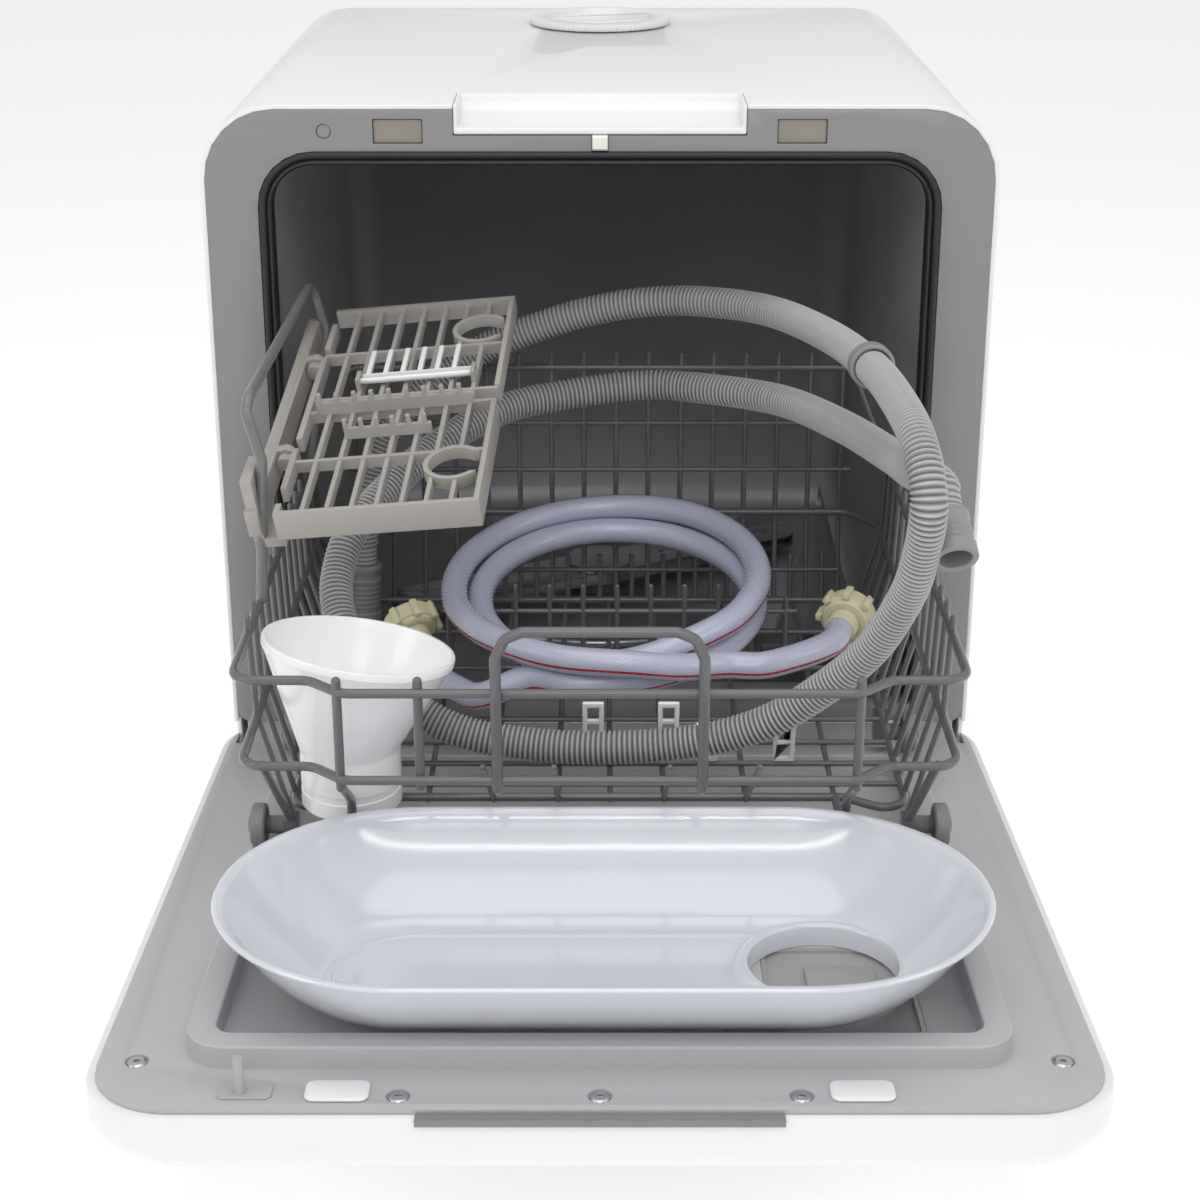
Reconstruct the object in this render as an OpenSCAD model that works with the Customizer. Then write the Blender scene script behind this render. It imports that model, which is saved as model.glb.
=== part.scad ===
// Countertop dishwasher, door open and rack drawn out, millimetres.
// Origin: floor, middle of the footprint. X to the right seen from the front, +Y to the back, +Z up.
// The cabinet's front plane is y = 0, and the open door reaches towards -Y.

/* [Casing] */
// Overall width of the casing
casing_w = 420; // [410:1:440]
// Height of the flat top above the floor
casing_h = 435; // [430:1:450]
// Depth of the casing from its front plane to its back
casing_d = 405; // [402:1:430]
// Thickness of the casing's sheet
casing_wall = 2.6; // [2:0.1:3.5]
// Radius of the casing's top corners, seen from the front
casing_r = 40; // [30:1:46]
// Radius of the casing's rear edges
rear_r = 28; // [16:1:30]
// Height of the feet
foot_h = 12; // [8:1:14]
// Diameter of each foot
foot_d = 34; // [24:1:40]
// Height of the parting line between casing and base pan
pan_h = 30; // [24:1:40]

/* [Front frame] */
// Half width of the opening in the front frame
opening_half = 180.2; // [176:0.1:184]
// Top of the opening in the front frame
opening_top = 410.5; // [404:0.5:412]
// Corner radius of the opening in the front frame
opening_r = 30; // [20:1:40]
// Bottom edge of the front frame
frame_bottom = 81; // [76:1:84]
// Top of the sill at the foot of the opening
sill_top = 92; // [88:1:94]
// Thickness of the front frame
frame_t = 12; // [10:0.5:16]
// Width of the door seal around the opening
seal_w = 7; // [5:0.5:8]
// Half width of the hand recess in the top edge
recess_half = 76.6; // [60:0.1:85]
// Floor height of the hand recess
recess_floor = 422.8; // [421:0.1:426]
// Depth of the hand recess
recess_d = 38; // [28:1:44]
// Distance of the magnet strikes from the middle
strike_x = 105.4; // [98:0.1:112]
// Width of a magnet strike
strike_w = 25.6; // [20:0.1:30]
// Height of a magnet strike
strike_h = 12.5; // [10:0.1:14]
// Distance of the door switch from the middle
switch_x = 144; // [138:0.5:150]
// Diameter of the door switch's plunger
plunger_d = 7.4; // [6:0.1:8]

/* [Tub] */
// Half width of the inside of the tub
tub_half = 175; // [170:0.5:178]
// Height of the tub's floor
tub_floor = 80; // [78:1:84]
// Height of the tub's ceiling
tub_top = 406; // [402:0.5:410]
// Distance from the front plane to the tub's back wall
tub_back = 352; // [345:1:356]
// Thickness of the tub's steel
tub_wall = 1.2; // [0.8:0.1:2]
// Height of the wheel ledges along the tub's sides
ledge_top = 99; // [96:0.5:99.5]
// Diameter of the wash arm's post
post_d = 20; // [16:1:24]
// Length of one blade of the wash arm
arm_reach = 144; // [110:1:150]

/* [Top filler] */
// Diameter of the water filler cap
cap_d = 91; // [80:1:96]
// Diameter of the recess in the filler cap
cap_recess_d = 69; // [56:1:72]
// Distance of the filler cap behind the front plane
cap_y = 300; // [285:1:315]
// Bore of the filler neck
neck_d = 60; // [48:1:62]

/* [Door] */
// Distance from the hinge axis to the door's top edge
door_reach = 379; // [376:1:384]
// Distance that the door reaches beyond the hinge axis
door_heel = 30; // [26:1:31]
// Thickness of the door
door_t = 39; // [38:0.5:44]
// Thickness of the door's shell
door_wall = 3; // [2.4:0.1:3.6]
// Corner radius of the door
door_r = 38; // [28:1:44]
// Width of the white rim around the inner panel
door_rim = 4; // [3.6:0.1:6]
// Slope of the open door, in degrees
door_tilt = 3.5; // [1:0.5:5]
// Half width of the seal ridge
ridge_half = 171; // [166:0.5:172]
// Height of the seal ridge
ridge_h = 10; // [6:0.5:11]
// Width of the seal ridge
ridge_w = 12; // [8:0.5:14]
// Diameter of the hinge pins
pin_d = 5; // [4:0.5:6]
// Radial clearance of pins and shafts in their bores
fit = 0.05; // [0.02:0.01:0.09]

/* [Basin] */
// Half length of the basin's rim
basin_half = 167; // [150:1:170]
// Half width of the basin's rim
basin_r = 84; // [76:1:86]
// Depth of the basin
basin_h = 43; // [30:1:50]
// Wall of the basin
basin_wall = 2.4; // [1.6:0.1:3]
// Radius of the hole in the basin's floor
basin_hole_r = 33; // [28:1:34]

/* [Rack] */
// Half width of the rack at its top rail
rack_half = 166; // [160:0.5:167]
// Diameter of the rack's rails
rail_d = 4.4; // [3.6:0.1:5]
// Diameter of the rack's thinner wires
wire_d = 3; // [2.4:0.1:3.4]
// Height of the rack's floor wires
rack_floor = 124; // [122:1:127]
// Height of the rack's lower rail
low_rail = 176; // [168:1:184]
// Height of the rack's top rail
top_rail = 219; // [210:1:226]
// Height of the rack's handle
handle_h = 250; // [240:1:262]
// Spacing of the upright wires
pitch = 19; // [17:0.5:23]
// Diameter of the rack's wheels
wheel_d = 21; // [18:0.5:22]
// Width of a rack wheel
wheel_w = 7; // [5:0.5:8]

/* [Shelf] */
// Width of the folding cup shelf
shelf_w = 104; // [90:1:108]
// Length of the folding cup shelf
shelf_l = 200; // [180:1:204]
// Height of the shelf's front wall
shelf_wall = 15; // [11:0.5:16]
// Pitch of the shelf's slats
slat_pitch = 12; // [10:0.5:16]

/* [Hidden] */

gap = 0.3;                        // clearance held between pieces that don't touch
half_w = casing_w / 2;
slit = 0.2;                       // clearance of a piece let into another
hinge_y = -33;                    // hinge axis of the door
hinge_z = 56;
face = 31;                        // door's inner face above the hinge axis, in the door's frame
outer = face - door_t;            // door's outer face
rim_top = face - 2;               // top of the white rim and floor of the field inside the ridge
door_lip = 2;                     // reach of the grip strip beyond the door's edge
panel_t = 6;                      // thickness of the inner panel
ridge_near = 37;                  // near end of the seal ridge, from the hinge axis
ridge_far = 345;                  // far end of the seal ridge
bracket_x = 199;                  // hinge brackets, from the middle
bracket_t = 5;
eye_r = 4.5;                      // eye of a hinge bracket
button_xs = [-40, 0, 40];
button_r = 338;                   // button row, from the hinge axis
button_d = 11;
door_front = hinge_y - (door_reach + door_lip) * cos(door_tilt) + (face - 10) * sin(door_tilt);
spacer_l = -door_front - casing_d;    // brings the back as far out as the open door's edge
arm_y = 200;                      // centre of the wash arm and heater
arm_z = 92;
arm_t = 8;
sump_x = 105;
sump_y = 85;
sump_r = 40;
pump_x = -65;
axle_d = 5;
wheel_x = rack_half;              // middle plane of the wheels
front_wheel_y = -187;
rear_wheel_y = -72;
rack_front = -254;                // centre part of the front wall
rack_corner = -240;               // front corners of the rack
rack_back = 90;                   // rear wall at its top
jog_in = 115;                     // the front wall steps back between these two x
jog_out = 131;
floor_half = 150;                 // half width of the rack's floor
floor_front = -172;                // front edge of the rack's floor, and at its corners
floor_corner = -192;
floor_back = 78;
back_top = 266;                   // top of the rack's rear wall
low_half = rack_half - 2;         // half width at the lower rail
tip = 8;                          // upright wires end this far above the rail
handle_half = 46;
handle_bend = 12;
basin_x = 1.5;
basin_mid = 275.5;                 // middle of the basin, from the hinge axis
hole_x = 98;
hole_mid = 271;
basin_foot = rim_top + gap;       // underside of the basin's collar and feet
basin_bottom = basin_foot + 3.7;
dispenser = [72, 240, 138, 317];  // dispenser's outline: x and distance from the hinge axis
lid_box = [91, 256, 122, 275];    // dispenser lid's outline
lid_t = 1.5;
well_top = rim_top - lid_t - 0.1; // floor on which the lid slides
shelf_at = [-160, -165, 270];     // shelf's front left top corner
shelf_turn = [13.6, -6, -4.6];    // slope to the back, to the side, and heading
hinge_x = 0;                      // shelf's hinge line, in the shelf's own frame
hinge_h = -6;
comb_ears = [5 + 2 * slat_pitch, 5 + 7 * slat_pitch];    // slats that carry the flip comb
coil_at = [9.5, -15, 171];        // middle of the inlet hose's coil
coil_tilt = 8.6;
coil_out = 97.5;
coil_in = 68.7;
coil_h = 28.8;
hose_d = 17.5;                    // drain hose, over its corrugations
inlet_d = 14.4;                   // inlet hose
cuff_d = 20;

// Drain hose's route, from one end cuff to the other
drain_route = [[158.6, -195, 281], [156.9, -181, 291], [150, -150, 286], [143.7, -110, 281],
    [125, -50, 277], [98, 5, 273], [56, 40, 269], [23, 50, 267.6], [-22, 45, 263], [-56, 30, 259],
    [-88, 0, 249], [-112, -30, 236], [-130, -60, 222], [-136, -80, 207], [-135, -97, 195],
    [-127, -115, 181], [-106, -130, 162], [-75, -140, 146], [-40, -145, 140], [0, -150, 140],
    [45, -153, 144.6], [80, -158, 157], [107, -165, 178], [129, -180, 207], [141, -198, 240],
    [145, -212, 266], [146, -222, 298], [143, -200, 319], [139, -150, 324], [133, -100, 324],
    [119, -40, 322], [93, 20, 319], [56, 52, 316], [23, 64, 312], [-11, 70, 304], [-48, 72, 291],
    [-72, 72, 280], [-98, 69, 262], [-119, 62, 240], [-131, 54, 215], [-136, 46, 190],
    [-137, 43, 162]];
// Inlet hose's two free ends, from the coil to their nuts
inlet_left = [[-40, -93, 149], [-51, -94, 144], [-62, -92, 141], [-75, -80, 139], [-86, -66, 139.5], [-93.5, -53, 143], [-98, -44, 148.5]];
inlet_right = [[68, -89, 158], [84, -91, 158], [98, -86, 159], [112, -78, 160], [124, -67, 161], [129, -55, 162.5]];

// ---------- outlines and helpers ----------

function unit(v) = v / norm(v);
function arc(cx, cy, r, from, to, n = 6) =
    [for (i = [0:n]) let (a = from + (to - from) * i / n) [cx + r * cos(a), cy + r * sin(a)]];
// Rounded rectangle with one radius at its top corners and another at its bottom corners
function rounded(x0, y0, x1, y1, rt, rb, n = 6) = concat(
    arc(x1 - rt, y1 - rt, rt, 0, 90, n), arc(x0 + rt, y1 - rt, rt, 90, 180, n),
    arc(x0 + rb, y0 + rb, rb, 180, 270, n), arc(x1 - rb, y0 + rb, rb, 270, 360, n));

// Extrudes an outline drawn in X and Z from y0 to y1
module deep(y0, y1) translate([0, y1, 0]) rotate([90, 0, 0]) linear_extrude(y1 - y0) children();
// Extrudes an outline drawn in Y and Z from x0 to x1
module wide(x0, x1) translate([x0, 0, 0]) rotate([90, 0, 90]) linear_extrude(x1 - x0) children();
module box(x0, y0, z0, x1, y1, z1) translate([x0, y0, z0]) cube([x1 - x0, y1 - y0, z1 - z0]);
module both_sides() {
    children();
    mirror([1, 0, 0]) children();
}
module rod(a, b, d, n = 8) {
    v = b - a;
    translate(a) rotate([0, acos(v.z / norm(v)), atan2(v.y, v.x)]) cylinder(h = norm(v), d = d, $fn = n);
}
// Bent wire through points, as one welded mesh
module wire(points, d) for (i = [1:len(points) - 1]) hull() {
    translate(points[i - 1]) sphere(d = d, $fn = 8);
    translate(points[i]) sphere(d = d, $fn = 8);
}
// Straight wire with flat ends, as one welded mesh
module stick(a, b, d) hull() {
    rod(a, a + unit(b - a) * 0.1, d, 6);
    rod(b - unit(b - a) * 0.1, b, d, 6);
}
// Tube swept along points, its sides carried from ring to ring without twisting
module tube(points, d, n = 10) {
    last = len(points) - 1;
    along = [for (i = [0:last]) unit(points[min(i + 1, last)] - points[max(i - 1, 0)])];
    side = [for (i = 0, s = unit(cross(along[0], [0, 0.3, 1])); i <= last; i = i + 1,
        s = i <= last ? unit(s - along[i] * (s * along[i])) : s) s];
    rings = [for (i = [0:last]) for (k = [0:n - 1]) points[i]
        + side[i] * (d / 2 * cos(360 * k / n)) + cross(along[i], side[i]) * (d / 2 * sin(360 * k / n))];
    walls = [for (i = [0:last - 1]) for (k = [0:n - 1])
        [i * n + k, i * n + (k + 1) % n, (i + 1) * n + (k + 1) % n, (i + 1) * n + k]];
    polyhedron(rings, concat([[for (k = [n - 1:-1:0]) k]], walls, [[for (k = [0:n - 1]) last * n + k]]));
}
// Places what is drawn in the door's frame: x, minus the distance from the hinge axis, height
module on_door() translate([0, hinge_y, hinge_z]) rotate([-door_tilt, 0, 0]) children();
// Plate on the door from height h0 to h1, its outline given as x and distance from the hinge axis
module door_plate(x0, r0, x1, r1, h0, h1, r) translate([0, 0, h0])
    linear_extrude(h1 - h0) polygon(rounded(x0, -r1, x1, -r0, r, r));
module on_shelf() translate(shelf_at) rotate(shelf_turn) children();

// ---------- cabinet ----------

// Casing's outline seen from the front, drawn inset
module front_outline(inset) polygon(rounded(-half_w + inset, foot_h + inset, half_w - inset,
    casing_h - inset, max(casing_r - inset, 3), max(12 - inset, 3)));
// Solid of the casing with its rounded rear edges, drawn inset
module casing_block(inset) {
    soft = rear_r - inset;
    hull() {
        deep(0, casing_d - rear_r) front_outline(inset);
        for (a = [18:18:90]) translate([0, casing_d - rear_r + soft * sin(a), 0])
            deep(-0.1, 0) front_outline(inset + soft * (1 - cos(a)));
    }
}
rear_port = [-165, 44, 165, 94];    // opening in the rear wall: x and z

module cabinet_shell() color("white") difference() {
    casing_block(0);
    translate([0, -1, 0]) casing_block(casing_wall);
    deep(-2, 9) front_outline(casing_wall);
    box(-half_w - 1, -1, 0, half_w + 1, casing_d + 1, pan_h);
    box(-half_w - 1, -1, 0, half_w + 1, 9, frame_bottom);
    box(-recess_half, -1, recess_floor - 4, recess_half, recess_d, casing_h + 1);
    translate([0, cap_y, casing_h - 10]) cylinder(h = 20, d = neck_d + 6 + 2 * slit, $fn = 64);
    box(rear_port[0], casing_d - 8, rear_port[1], rear_port[2], casing_d + 1, rear_port[3]);
}
module base_pan() color("dimgray") {
    difference() {
        intersection() {
            casing_block(0);
            box(-half_w, 9, 0, half_w, casing_d, pan_h);
        }
        difference() {
            casing_block(3);
            box(-half_w, 0, 0, half_w, casing_d, foot_h + 3);
        }
        at_feet() translate([0, 0, foot_h - 1]) cylinder(h = 6, d = stud_d + 2 * slit, $fn = 24);
    }
    difference() {
        box(-half_w + 6, 9, foot_h + 1, half_w - 6, 12, frame_bottom - gap);
        both_sides() box(bracket_x - bracket_t / 2 - 1, 0, 44, bracket_x + bracket_t / 2 + 1, 20, 68);
    }
    both_sides() box(bracket_x - bracket_t / 2 - 5, 30, foot_h + 2, bracket_x - bracket_t / 2, 90, pan_h);
    box(-125, arm_y - 12, foot_h + 2, 12, arm_y + 12, 21);
    box(sump_x - 24, 150, foot_h + 2, sump_x + 24, 190, 20);
}
stud_d = 8;    // stud that holds a foot in the pan
module at_feet() both_sides() for (y = [35, casing_d - 35]) translate([half_w - 35, y, 0]) children();
module feet() color("black") at_feet() {
    cylinder(h = foot_h, d = foot_d, $fn = 48);
    translate([0, 0, foot_h]) cylinder(h = 3, d = stud_d, $fn = 24);
}
module front_frame() color("darkgray") difference() {
    union() {
        deep(0, frame_t) difference() {
            polygon(rounded(-half_w + casing_wall, frame_bottom, half_w - casing_wall,
                casing_h - casing_wall, casing_r - casing_wall, 8));
            polygon(rounded(-opening_half, sill_top, opening_half, opening_top, opening_r, 4));
        }
        box(-opening_half, 0, sill_top - 4, opening_half, frame_t, sill_top);
        box(10 - tub_half, 0, sill_top - 4, tub_half - 10, 30, sill_top);
    }
    box(-recess_half, -1, recess_floor - 4, recess_half, frame_t + 1, casing_h);
    both_sides() box(strike_x - strike_w / 2 - slit, -1, 421 - strike_h / 2 - slit,
        strike_x + strike_w / 2 + slit, 3, 421 + strike_h / 2 + slit);
    translate([-switch_x, -1, 421]) rotate([-90, 0, 0])
        cylinder(h = frame_t + 2, d = plunger_d + 2 * slit, $fn = 32);
    box(-4.3, -1, 409, 4.3, frame_t + 1, 419.3);
}
module strike_plates() color("tan") both_sides()
    box(strike_x - strike_w / 2, 1, 421 - strike_h / 2, strike_x + strike_w / 2, 3, 421 + strike_h / 2);
module latch_piece() color("white") difference() {
    wide(-4, 4) polygon([[-1.5, 412], [0.5, 410.7], [7, 410.7], [7, 419], [-0.5, 419], [-1.5, 418]]);
    translate([0, 9, 414.5]) rotate([90, 0, 0]) cylinder(h = 8, d = 5, $fn = 24);
}
module latch_spring() color("silver") difference() {
    translate([0, 17, 414.5]) rotate([90, 0, 0]) cylinder(h = 12, d = 4.6, $fn = 24);
    translate([0, 18, 414.5]) rotate([90, 0, 0]) cylinder(h = 14, d = 3.2, $fn = 24);
}
module switch_plunger() color("black") translate([-switch_x, 0.6, 421]) rotate([-90, 0, 0])
    cylinder(h = 23, d = plunger_d, $fn = 32);
module door_switch() color("dimgray") {
    difference() {
        box(-switch_x - 9, 43.5, tub_top + tub_wall + 0.1, -switch_x + 9, 62, 429);
        translate([-switch_x, 43, 421]) rotate([-90, 0, 0]) cylinder(h = 5, d = plunger_d + 1, $fn = 32);
    }
    box(-5, 17, tub_top + tub_wall + 0.1, 5, 19, 418);
}
module handle_cup() color("whitesmoke") {
    w = recess_half - slit;
    wide(-w, w) polygon(concat([[0, recess_floor], [0, recess_floor - 3.5], [recess_d - slit, recess_floor - 3.5],
        [recess_d - slit, casing_h]], [for (a = [0:15:90]) [recess_d - 3 - 22 * (1 - cos(a)),
        recess_floor + (casing_h - recess_floor) * (1 - sin(a))]]));
    both_sides() box(w - 2, 0, recess_floor - 3.5, w, recess_d - slit, casing_h);
}
module tub() color("slategray") {
    difference() {
        deep(frame_t, tub_back + tub_wall) polygon(rounded(-tub_half - tub_wall, tub_floor - tub_wall,
            tub_half + tub_wall, tub_top + tub_wall, opening_r, 20));
        deep(frame_t - 1, tub_back) polygon(rounded(-tub_half, tub_floor, tub_half, tub_top,
            opening_r - tub_wall, 20 - tub_wall));
        translate([sump_x, sump_y, tub_floor - 5]) cylinder(h = 10, r = sump_r, $fn = 48);
        translate([0, arm_y, tub_floor - 5]) cylinder(h = 10, d = post_d + 2, $fn = 32);
        for (s = [-1, 1]) translate([s * 12, arm_y + 100, tub_floor - 5]) cylinder(h = 10, d = 7.6, $fn = 24);
    }
    // flange behind the door seal
    deep(frame_t - 2, frame_t) difference() {
        polygon(rounded(-opening_half + slit, sill_top + slit, opening_half - slit, opening_top - slit,
            opening_r - slit, 4));
        polygon(rounded(-tub_half, tub_floor, tub_half, tub_top, opening_r - tub_wall, 4));
    }
    both_sides() box(wheel_x - wheel_w / 2 - 4, 30.5, ledge_top - 4, tub_half + 0.5, tub_back + 0.5, ledge_top);
}
module tub_gasket() color("black") deep(-1, frame_t - 2.2) difference() {
    polygon(rounded(-opening_half + slit, sill_top + slit, opening_half - slit, opening_top - slit,
        opening_r - slit, 4));
    polygon(rounded(-opening_half + seal_w, 0, opening_half - seal_w, opening_top - seal_w,
        opening_r - seal_w, 3));
}
module fill_cap() color("whitesmoke") translate([0, cap_y, casing_h]) {
    difference() {
        union() {
            translate([0, 0, 1.1]) cylinder(h = 3.9, d = cap_d, $fn = 96);
            translate([0, 0, -4]) cylinder(h = 6, d = neck_d, $fn = 64);
        }
        translate([0, 0, 2.2]) cylinder(h = 5, d = cap_recess_d, $fn = 96);
    }
    rotate([0, 0, 18]) translate([-cap_recess_d / 2 + 1, -4, 2]) cube([cap_recess_d - 2, 8, 3]);
}
tank_top = casing_h - casing_wall - 2;
module water_tank() color("lightsteelblue") difference() {
    union() {
        box(-165, tub_back + tub_wall + gap, 100, 165, casing_d - 7, 395);
        box(-120, 240, tub_top + tub_wall + 1, 120, tub_back + 24, tank_top);
        box(-120, tub_back + tub_wall + gap, 390, 120, tub_back + 24, tank_top);
        // filler neck and its collar on the casing
        translate([0, cap_y, casing_h]) cylinder(h = 1, d = cap_d - 8, $fn = 64);
        translate([0, cap_y, tank_top - 1]) cylinder(h = casing_h - tank_top + 1.5, d = neck_d + 6, $fn = 64);
    }
    box(-163, tub_back + tub_wall + gap + 2, 102, 163, casing_d - 9, 393);
    box(-118, 242, tub_top + tub_wall + 3, 118, tub_back + 22, tank_top - 2);
    box(-118, tub_back + tub_wall + gap + 2, 380, 118, tub_back + 22, tank_top - 2);
    translate([0, cap_y, tank_top - 5]) cylinder(h = 20, d = neck_d + 2 * fit, $fn = 64);
}
module back_panel() color("gray") difference() {
    box(rear_port[0] - 6, casing_d - casing_wall - 2.5, rear_port[1] - 2, rear_port[2] + 6,
        casing_d - casing_wall - 1, rear_port[3] + 5);
    for (p = ports) translate([p[0], casing_d - 10, p[1]]) rotate([-90, 0, 0])
        cylinder(h = 20, d = p[2] + 2 * port_gap, $fn = 48);
}
ports = [[-125, 62, 26.4], [-75, 62, 18], [130, 60, 16]];    // inlet, drain, cord: x, z, diameter
port_gap = 1.2;                   // room round a port for the sleeve that goes over it
cord_bore = 7.5;
module port_stub(p, bore, length) translate([p[0], casing_d - casing_wall - length, p[1]])
    rotate([-90, 0, 0]) difference() {
        cylinder(h = length + casing_wall + spacer_l, d = p[2], $fn = 64);
        translate([0, 0, 4]) cylinder(h = 60, d = bore, $fn = 48);
    }
module inlet_valve() color("white") {
    port_stub(ports[0], 15, 14);
    box(-143, tub_back + tub_wall + gap, 46, -107, casing_d - 14, 80);
}
module drain_port() color("gray") {
    port_stub(ports[1], 13, 14);
    translate([ports[1][0], casing_d - 22, ports[1][1]]) rotate([-90, 0, 0]) cylinder(h = 10, d = 28, $fn = 48);
}
module cord_gland() color("black") translate([ports[2][0], casing_d - 22, ports[2][1]]) rotate([-90, 0, 0])
    difference() {
        union() {
            cylinder(h = 22 + spacer_l, d = ports[2][2], $fn = 64);
            cylinder(h = 10, d = 24, $fn = 6);
        }
        translate([0, 0, -1]) cylinder(h = 60, d = cord_bore, $fn = 48);
    }
module rear_spacers() color("dimgray") both_sides() for (z = [130, 340]) translate([120, casing_d, z])
    rotate([-90, 0, 0]) cylinder(h = spacer_l, d = 22, $fn = 32);
module spray_hub() color("lightgray") difference() {
    union() {
        translate([0, arm_y, tub_floor]) cylinder(h = 3, d = 44, $fn = 48);
        translate([0, arm_y, 76.2]) cylinder(h = arm_z + arm_t - 3 - 76.2, d = post_d, $fn = 48);
        translate([0, arm_y, tub_floor]) cylinder(h = arm_z - gap - tub_floor, d = 30, $fn = 48);
    }
    translate([0, arm_y, 70]) cylinder(h = 18, d = 12, $fn = 32);
}
module spray_arm() color("silver") translate([0, arm_y, arm_z]) difference() {
    union() {
        cylinder(h = arm_t + 3, d = 44, $fn = 64);
        for (s = [0, 180]) rotate([0, 0, s + 25]) linear_extrude(arm_t)
            polygon(concat([[0, -19], [arm_reach - 16, -13]], arc(arm_reach - 13, 0, 13, -80, 80, 8),
                [[arm_reach - 16, 13], [0, 19]]));
    }
    translate([0, 0, -1]) cylinder(h = arm_t - 1.5, d = post_d + 2 * fit, $fn = 48);
    for (s = [0, 180]) rotate([0, 0, s + 25]) for (x = [45:26:arm_reach - 15])
        translate([x, 0, arm_t - 3]) cylinder(h = 5, d = 3.4, $fn = 16);
}
module sump() color("gray") translate([sump_x, sump_y, 0]) difference() {
    union() {
        translate([0, 0, 42]) cylinder(h = tub_floor - 42, r = sump_r - slit, $fn = 48);
        translate([0, 0, tub_floor]) cylinder(h = 1.5, r = sump_r + 6, $fn = 48);
    }
    translate([0, 0, 45]) cylinder(h = 60, r = sump_r - 3, $fn = 48);
}
module filter() color("silver") translate([sump_x, sump_y, 0]) difference() {
    union() {
        translate([0, 0, tub_floor + 1.5]) cylinder(h = 2, r = sump_r + 3, $fn = 48);
        translate([0, 0, 56]) cylinder(h = tub_floor + 2 - 56, d = 46, $fn = 48);
        translate([0, 0, tub_floor + 3]) cylinder(h = 7, d = 14, $fn = 32);
    }
    translate([0, 0, 58]) cylinder(h = tub_floor - 58, d = 42, $fn = 48);
}
module wash_pump() color("dimgray") {
    translate([pump_x - 50, arm_y, 47]) rotate([0, 90, 0]) cylinder(h = 90, d = 52, $fn = 48);
    translate([pump_x + 40, arm_y, 46]) rotate([0, 90, 0]) cylinder(h = 38, d = 46, $fn = 48);
    translate([0, arm_y, 60]) cylinder(h = 16.2, d = 18, $fn = 32);
}
module drain_pump() color("dimgray") {
    translate([sump_x, 150, 42]) rotate([-90, 0, 0]) cylinder(h = 56, d = 44, $fn = 48);
    translate([sump_x, sump_y + sump_r - slit, 52]) rotate([-90, 0, 0]) cylinder(h = 28, d = 16, $fn = 32);
}
module heater() color("darkgray") translate([0, arm_y, 85.5]) {
    rotate_extrude(angle = 346, $fn = 64) translate([100, 0]) circle(d = 6.5, $fn = 20);
    for (s = [-1, 1]) translate([s * 12, 100, -15.5]) cylinder(h = 15, d = 6.5, $fn = 20);
}
module hinge_brackets() color("silver") both_sides() difference() {
    wide(bracket_x - bracket_t / 2, bracket_x + bracket_t / 2) union() {
        translate([hinge_y, hinge_z]) circle(r = eye_r, $fn = 32);
        polygon([[hinge_y, hinge_z - eye_r], [30, hinge_z - eye_r - 2], [36, foot_h + 5], [90, foot_h + 5],
            [90, 40], [40, 64], [12, hinge_z + eye_r + 1], [hinge_y, hinge_z + eye_r]]);
    }
    translate([0, hinge_y, hinge_z]) rotate([0, 90, 0]) cylinder(h = 300, d = pin_d + 2 * fit, $fn = 32);
}

// ---------- door ----------

module hinge_pins() color("silver") on_door() both_sides() translate([bracket_x - 12, 0, 0])
    rotate([0, 90, 0]) cylinder(h = 19, d = pin_d, $fn = 32);
// Slot that lets a hinge bracket swing into the door's heel
module bracket_slot() both_sides() box(bracket_x - bracket_t / 2 - 1, -9, outer + door_wall - 0.2,
    bracket_x + bracket_t / 2 + 1, door_heel + 1, face + 1);
post_spots = [[-190, 339], [190, 339], [-80.5, 365], [80.5, 365], [0, 365]];
module door_shell() color("white") on_door() difference() {
    union() {
        difference() {
            hull() {
                door_plate(-half_w + 7, -door_heel + 7, half_w - 7, door_reach - 7, outer, outer + 1, door_r - 7);
                door_plate(-half_w + 2, -door_heel + 2, half_w - 2, door_reach - 2, outer + 2.2, outer + 3, door_r - 2);
                door_plate(-half_w, -door_heel, half_w, door_reach, outer + 7, rim_top, door_r);
            }
            door_plate(-half_w + door_rim, -door_heel + door_rim, half_w - door_rim, door_reach - door_rim,
                outer + door_wall, face, door_r - door_rim);
        }
        for (p = post_spots) translate([p[0], -p[1], outer + 1]) cylinder(h = face - panel_t - outer - 1, d = 8, $fn = 24);
        // bosses that hold the hinge pins
        both_sides() {
            box(bracket_x - 13, -5, outer + 1, bracket_x - 7, 5, 0);
            translate([bracket_x - 13, 0, 0]) rotate([0, 90, 0]) cylinder(h = 6, r = 5, $fn = 32);
        }
    }
    both_sides() translate([bracket_x - 12, 0, 0]) rotate([0, 90, 0]) cylinder(h = 19, d = pin_d, $fn = 32);
    for (p = post_spots) translate([p[0], -p[1], face - panel_t - 14]) cylinder(h = 20, d = 3.4, $fn = 16);
    for (x = button_xs) translate([x, -button_r, outer - 1]) cylinder(h = 8, d = button_d + 2 * gap, $fn = 32);
    bracket_slot();
}
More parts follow.
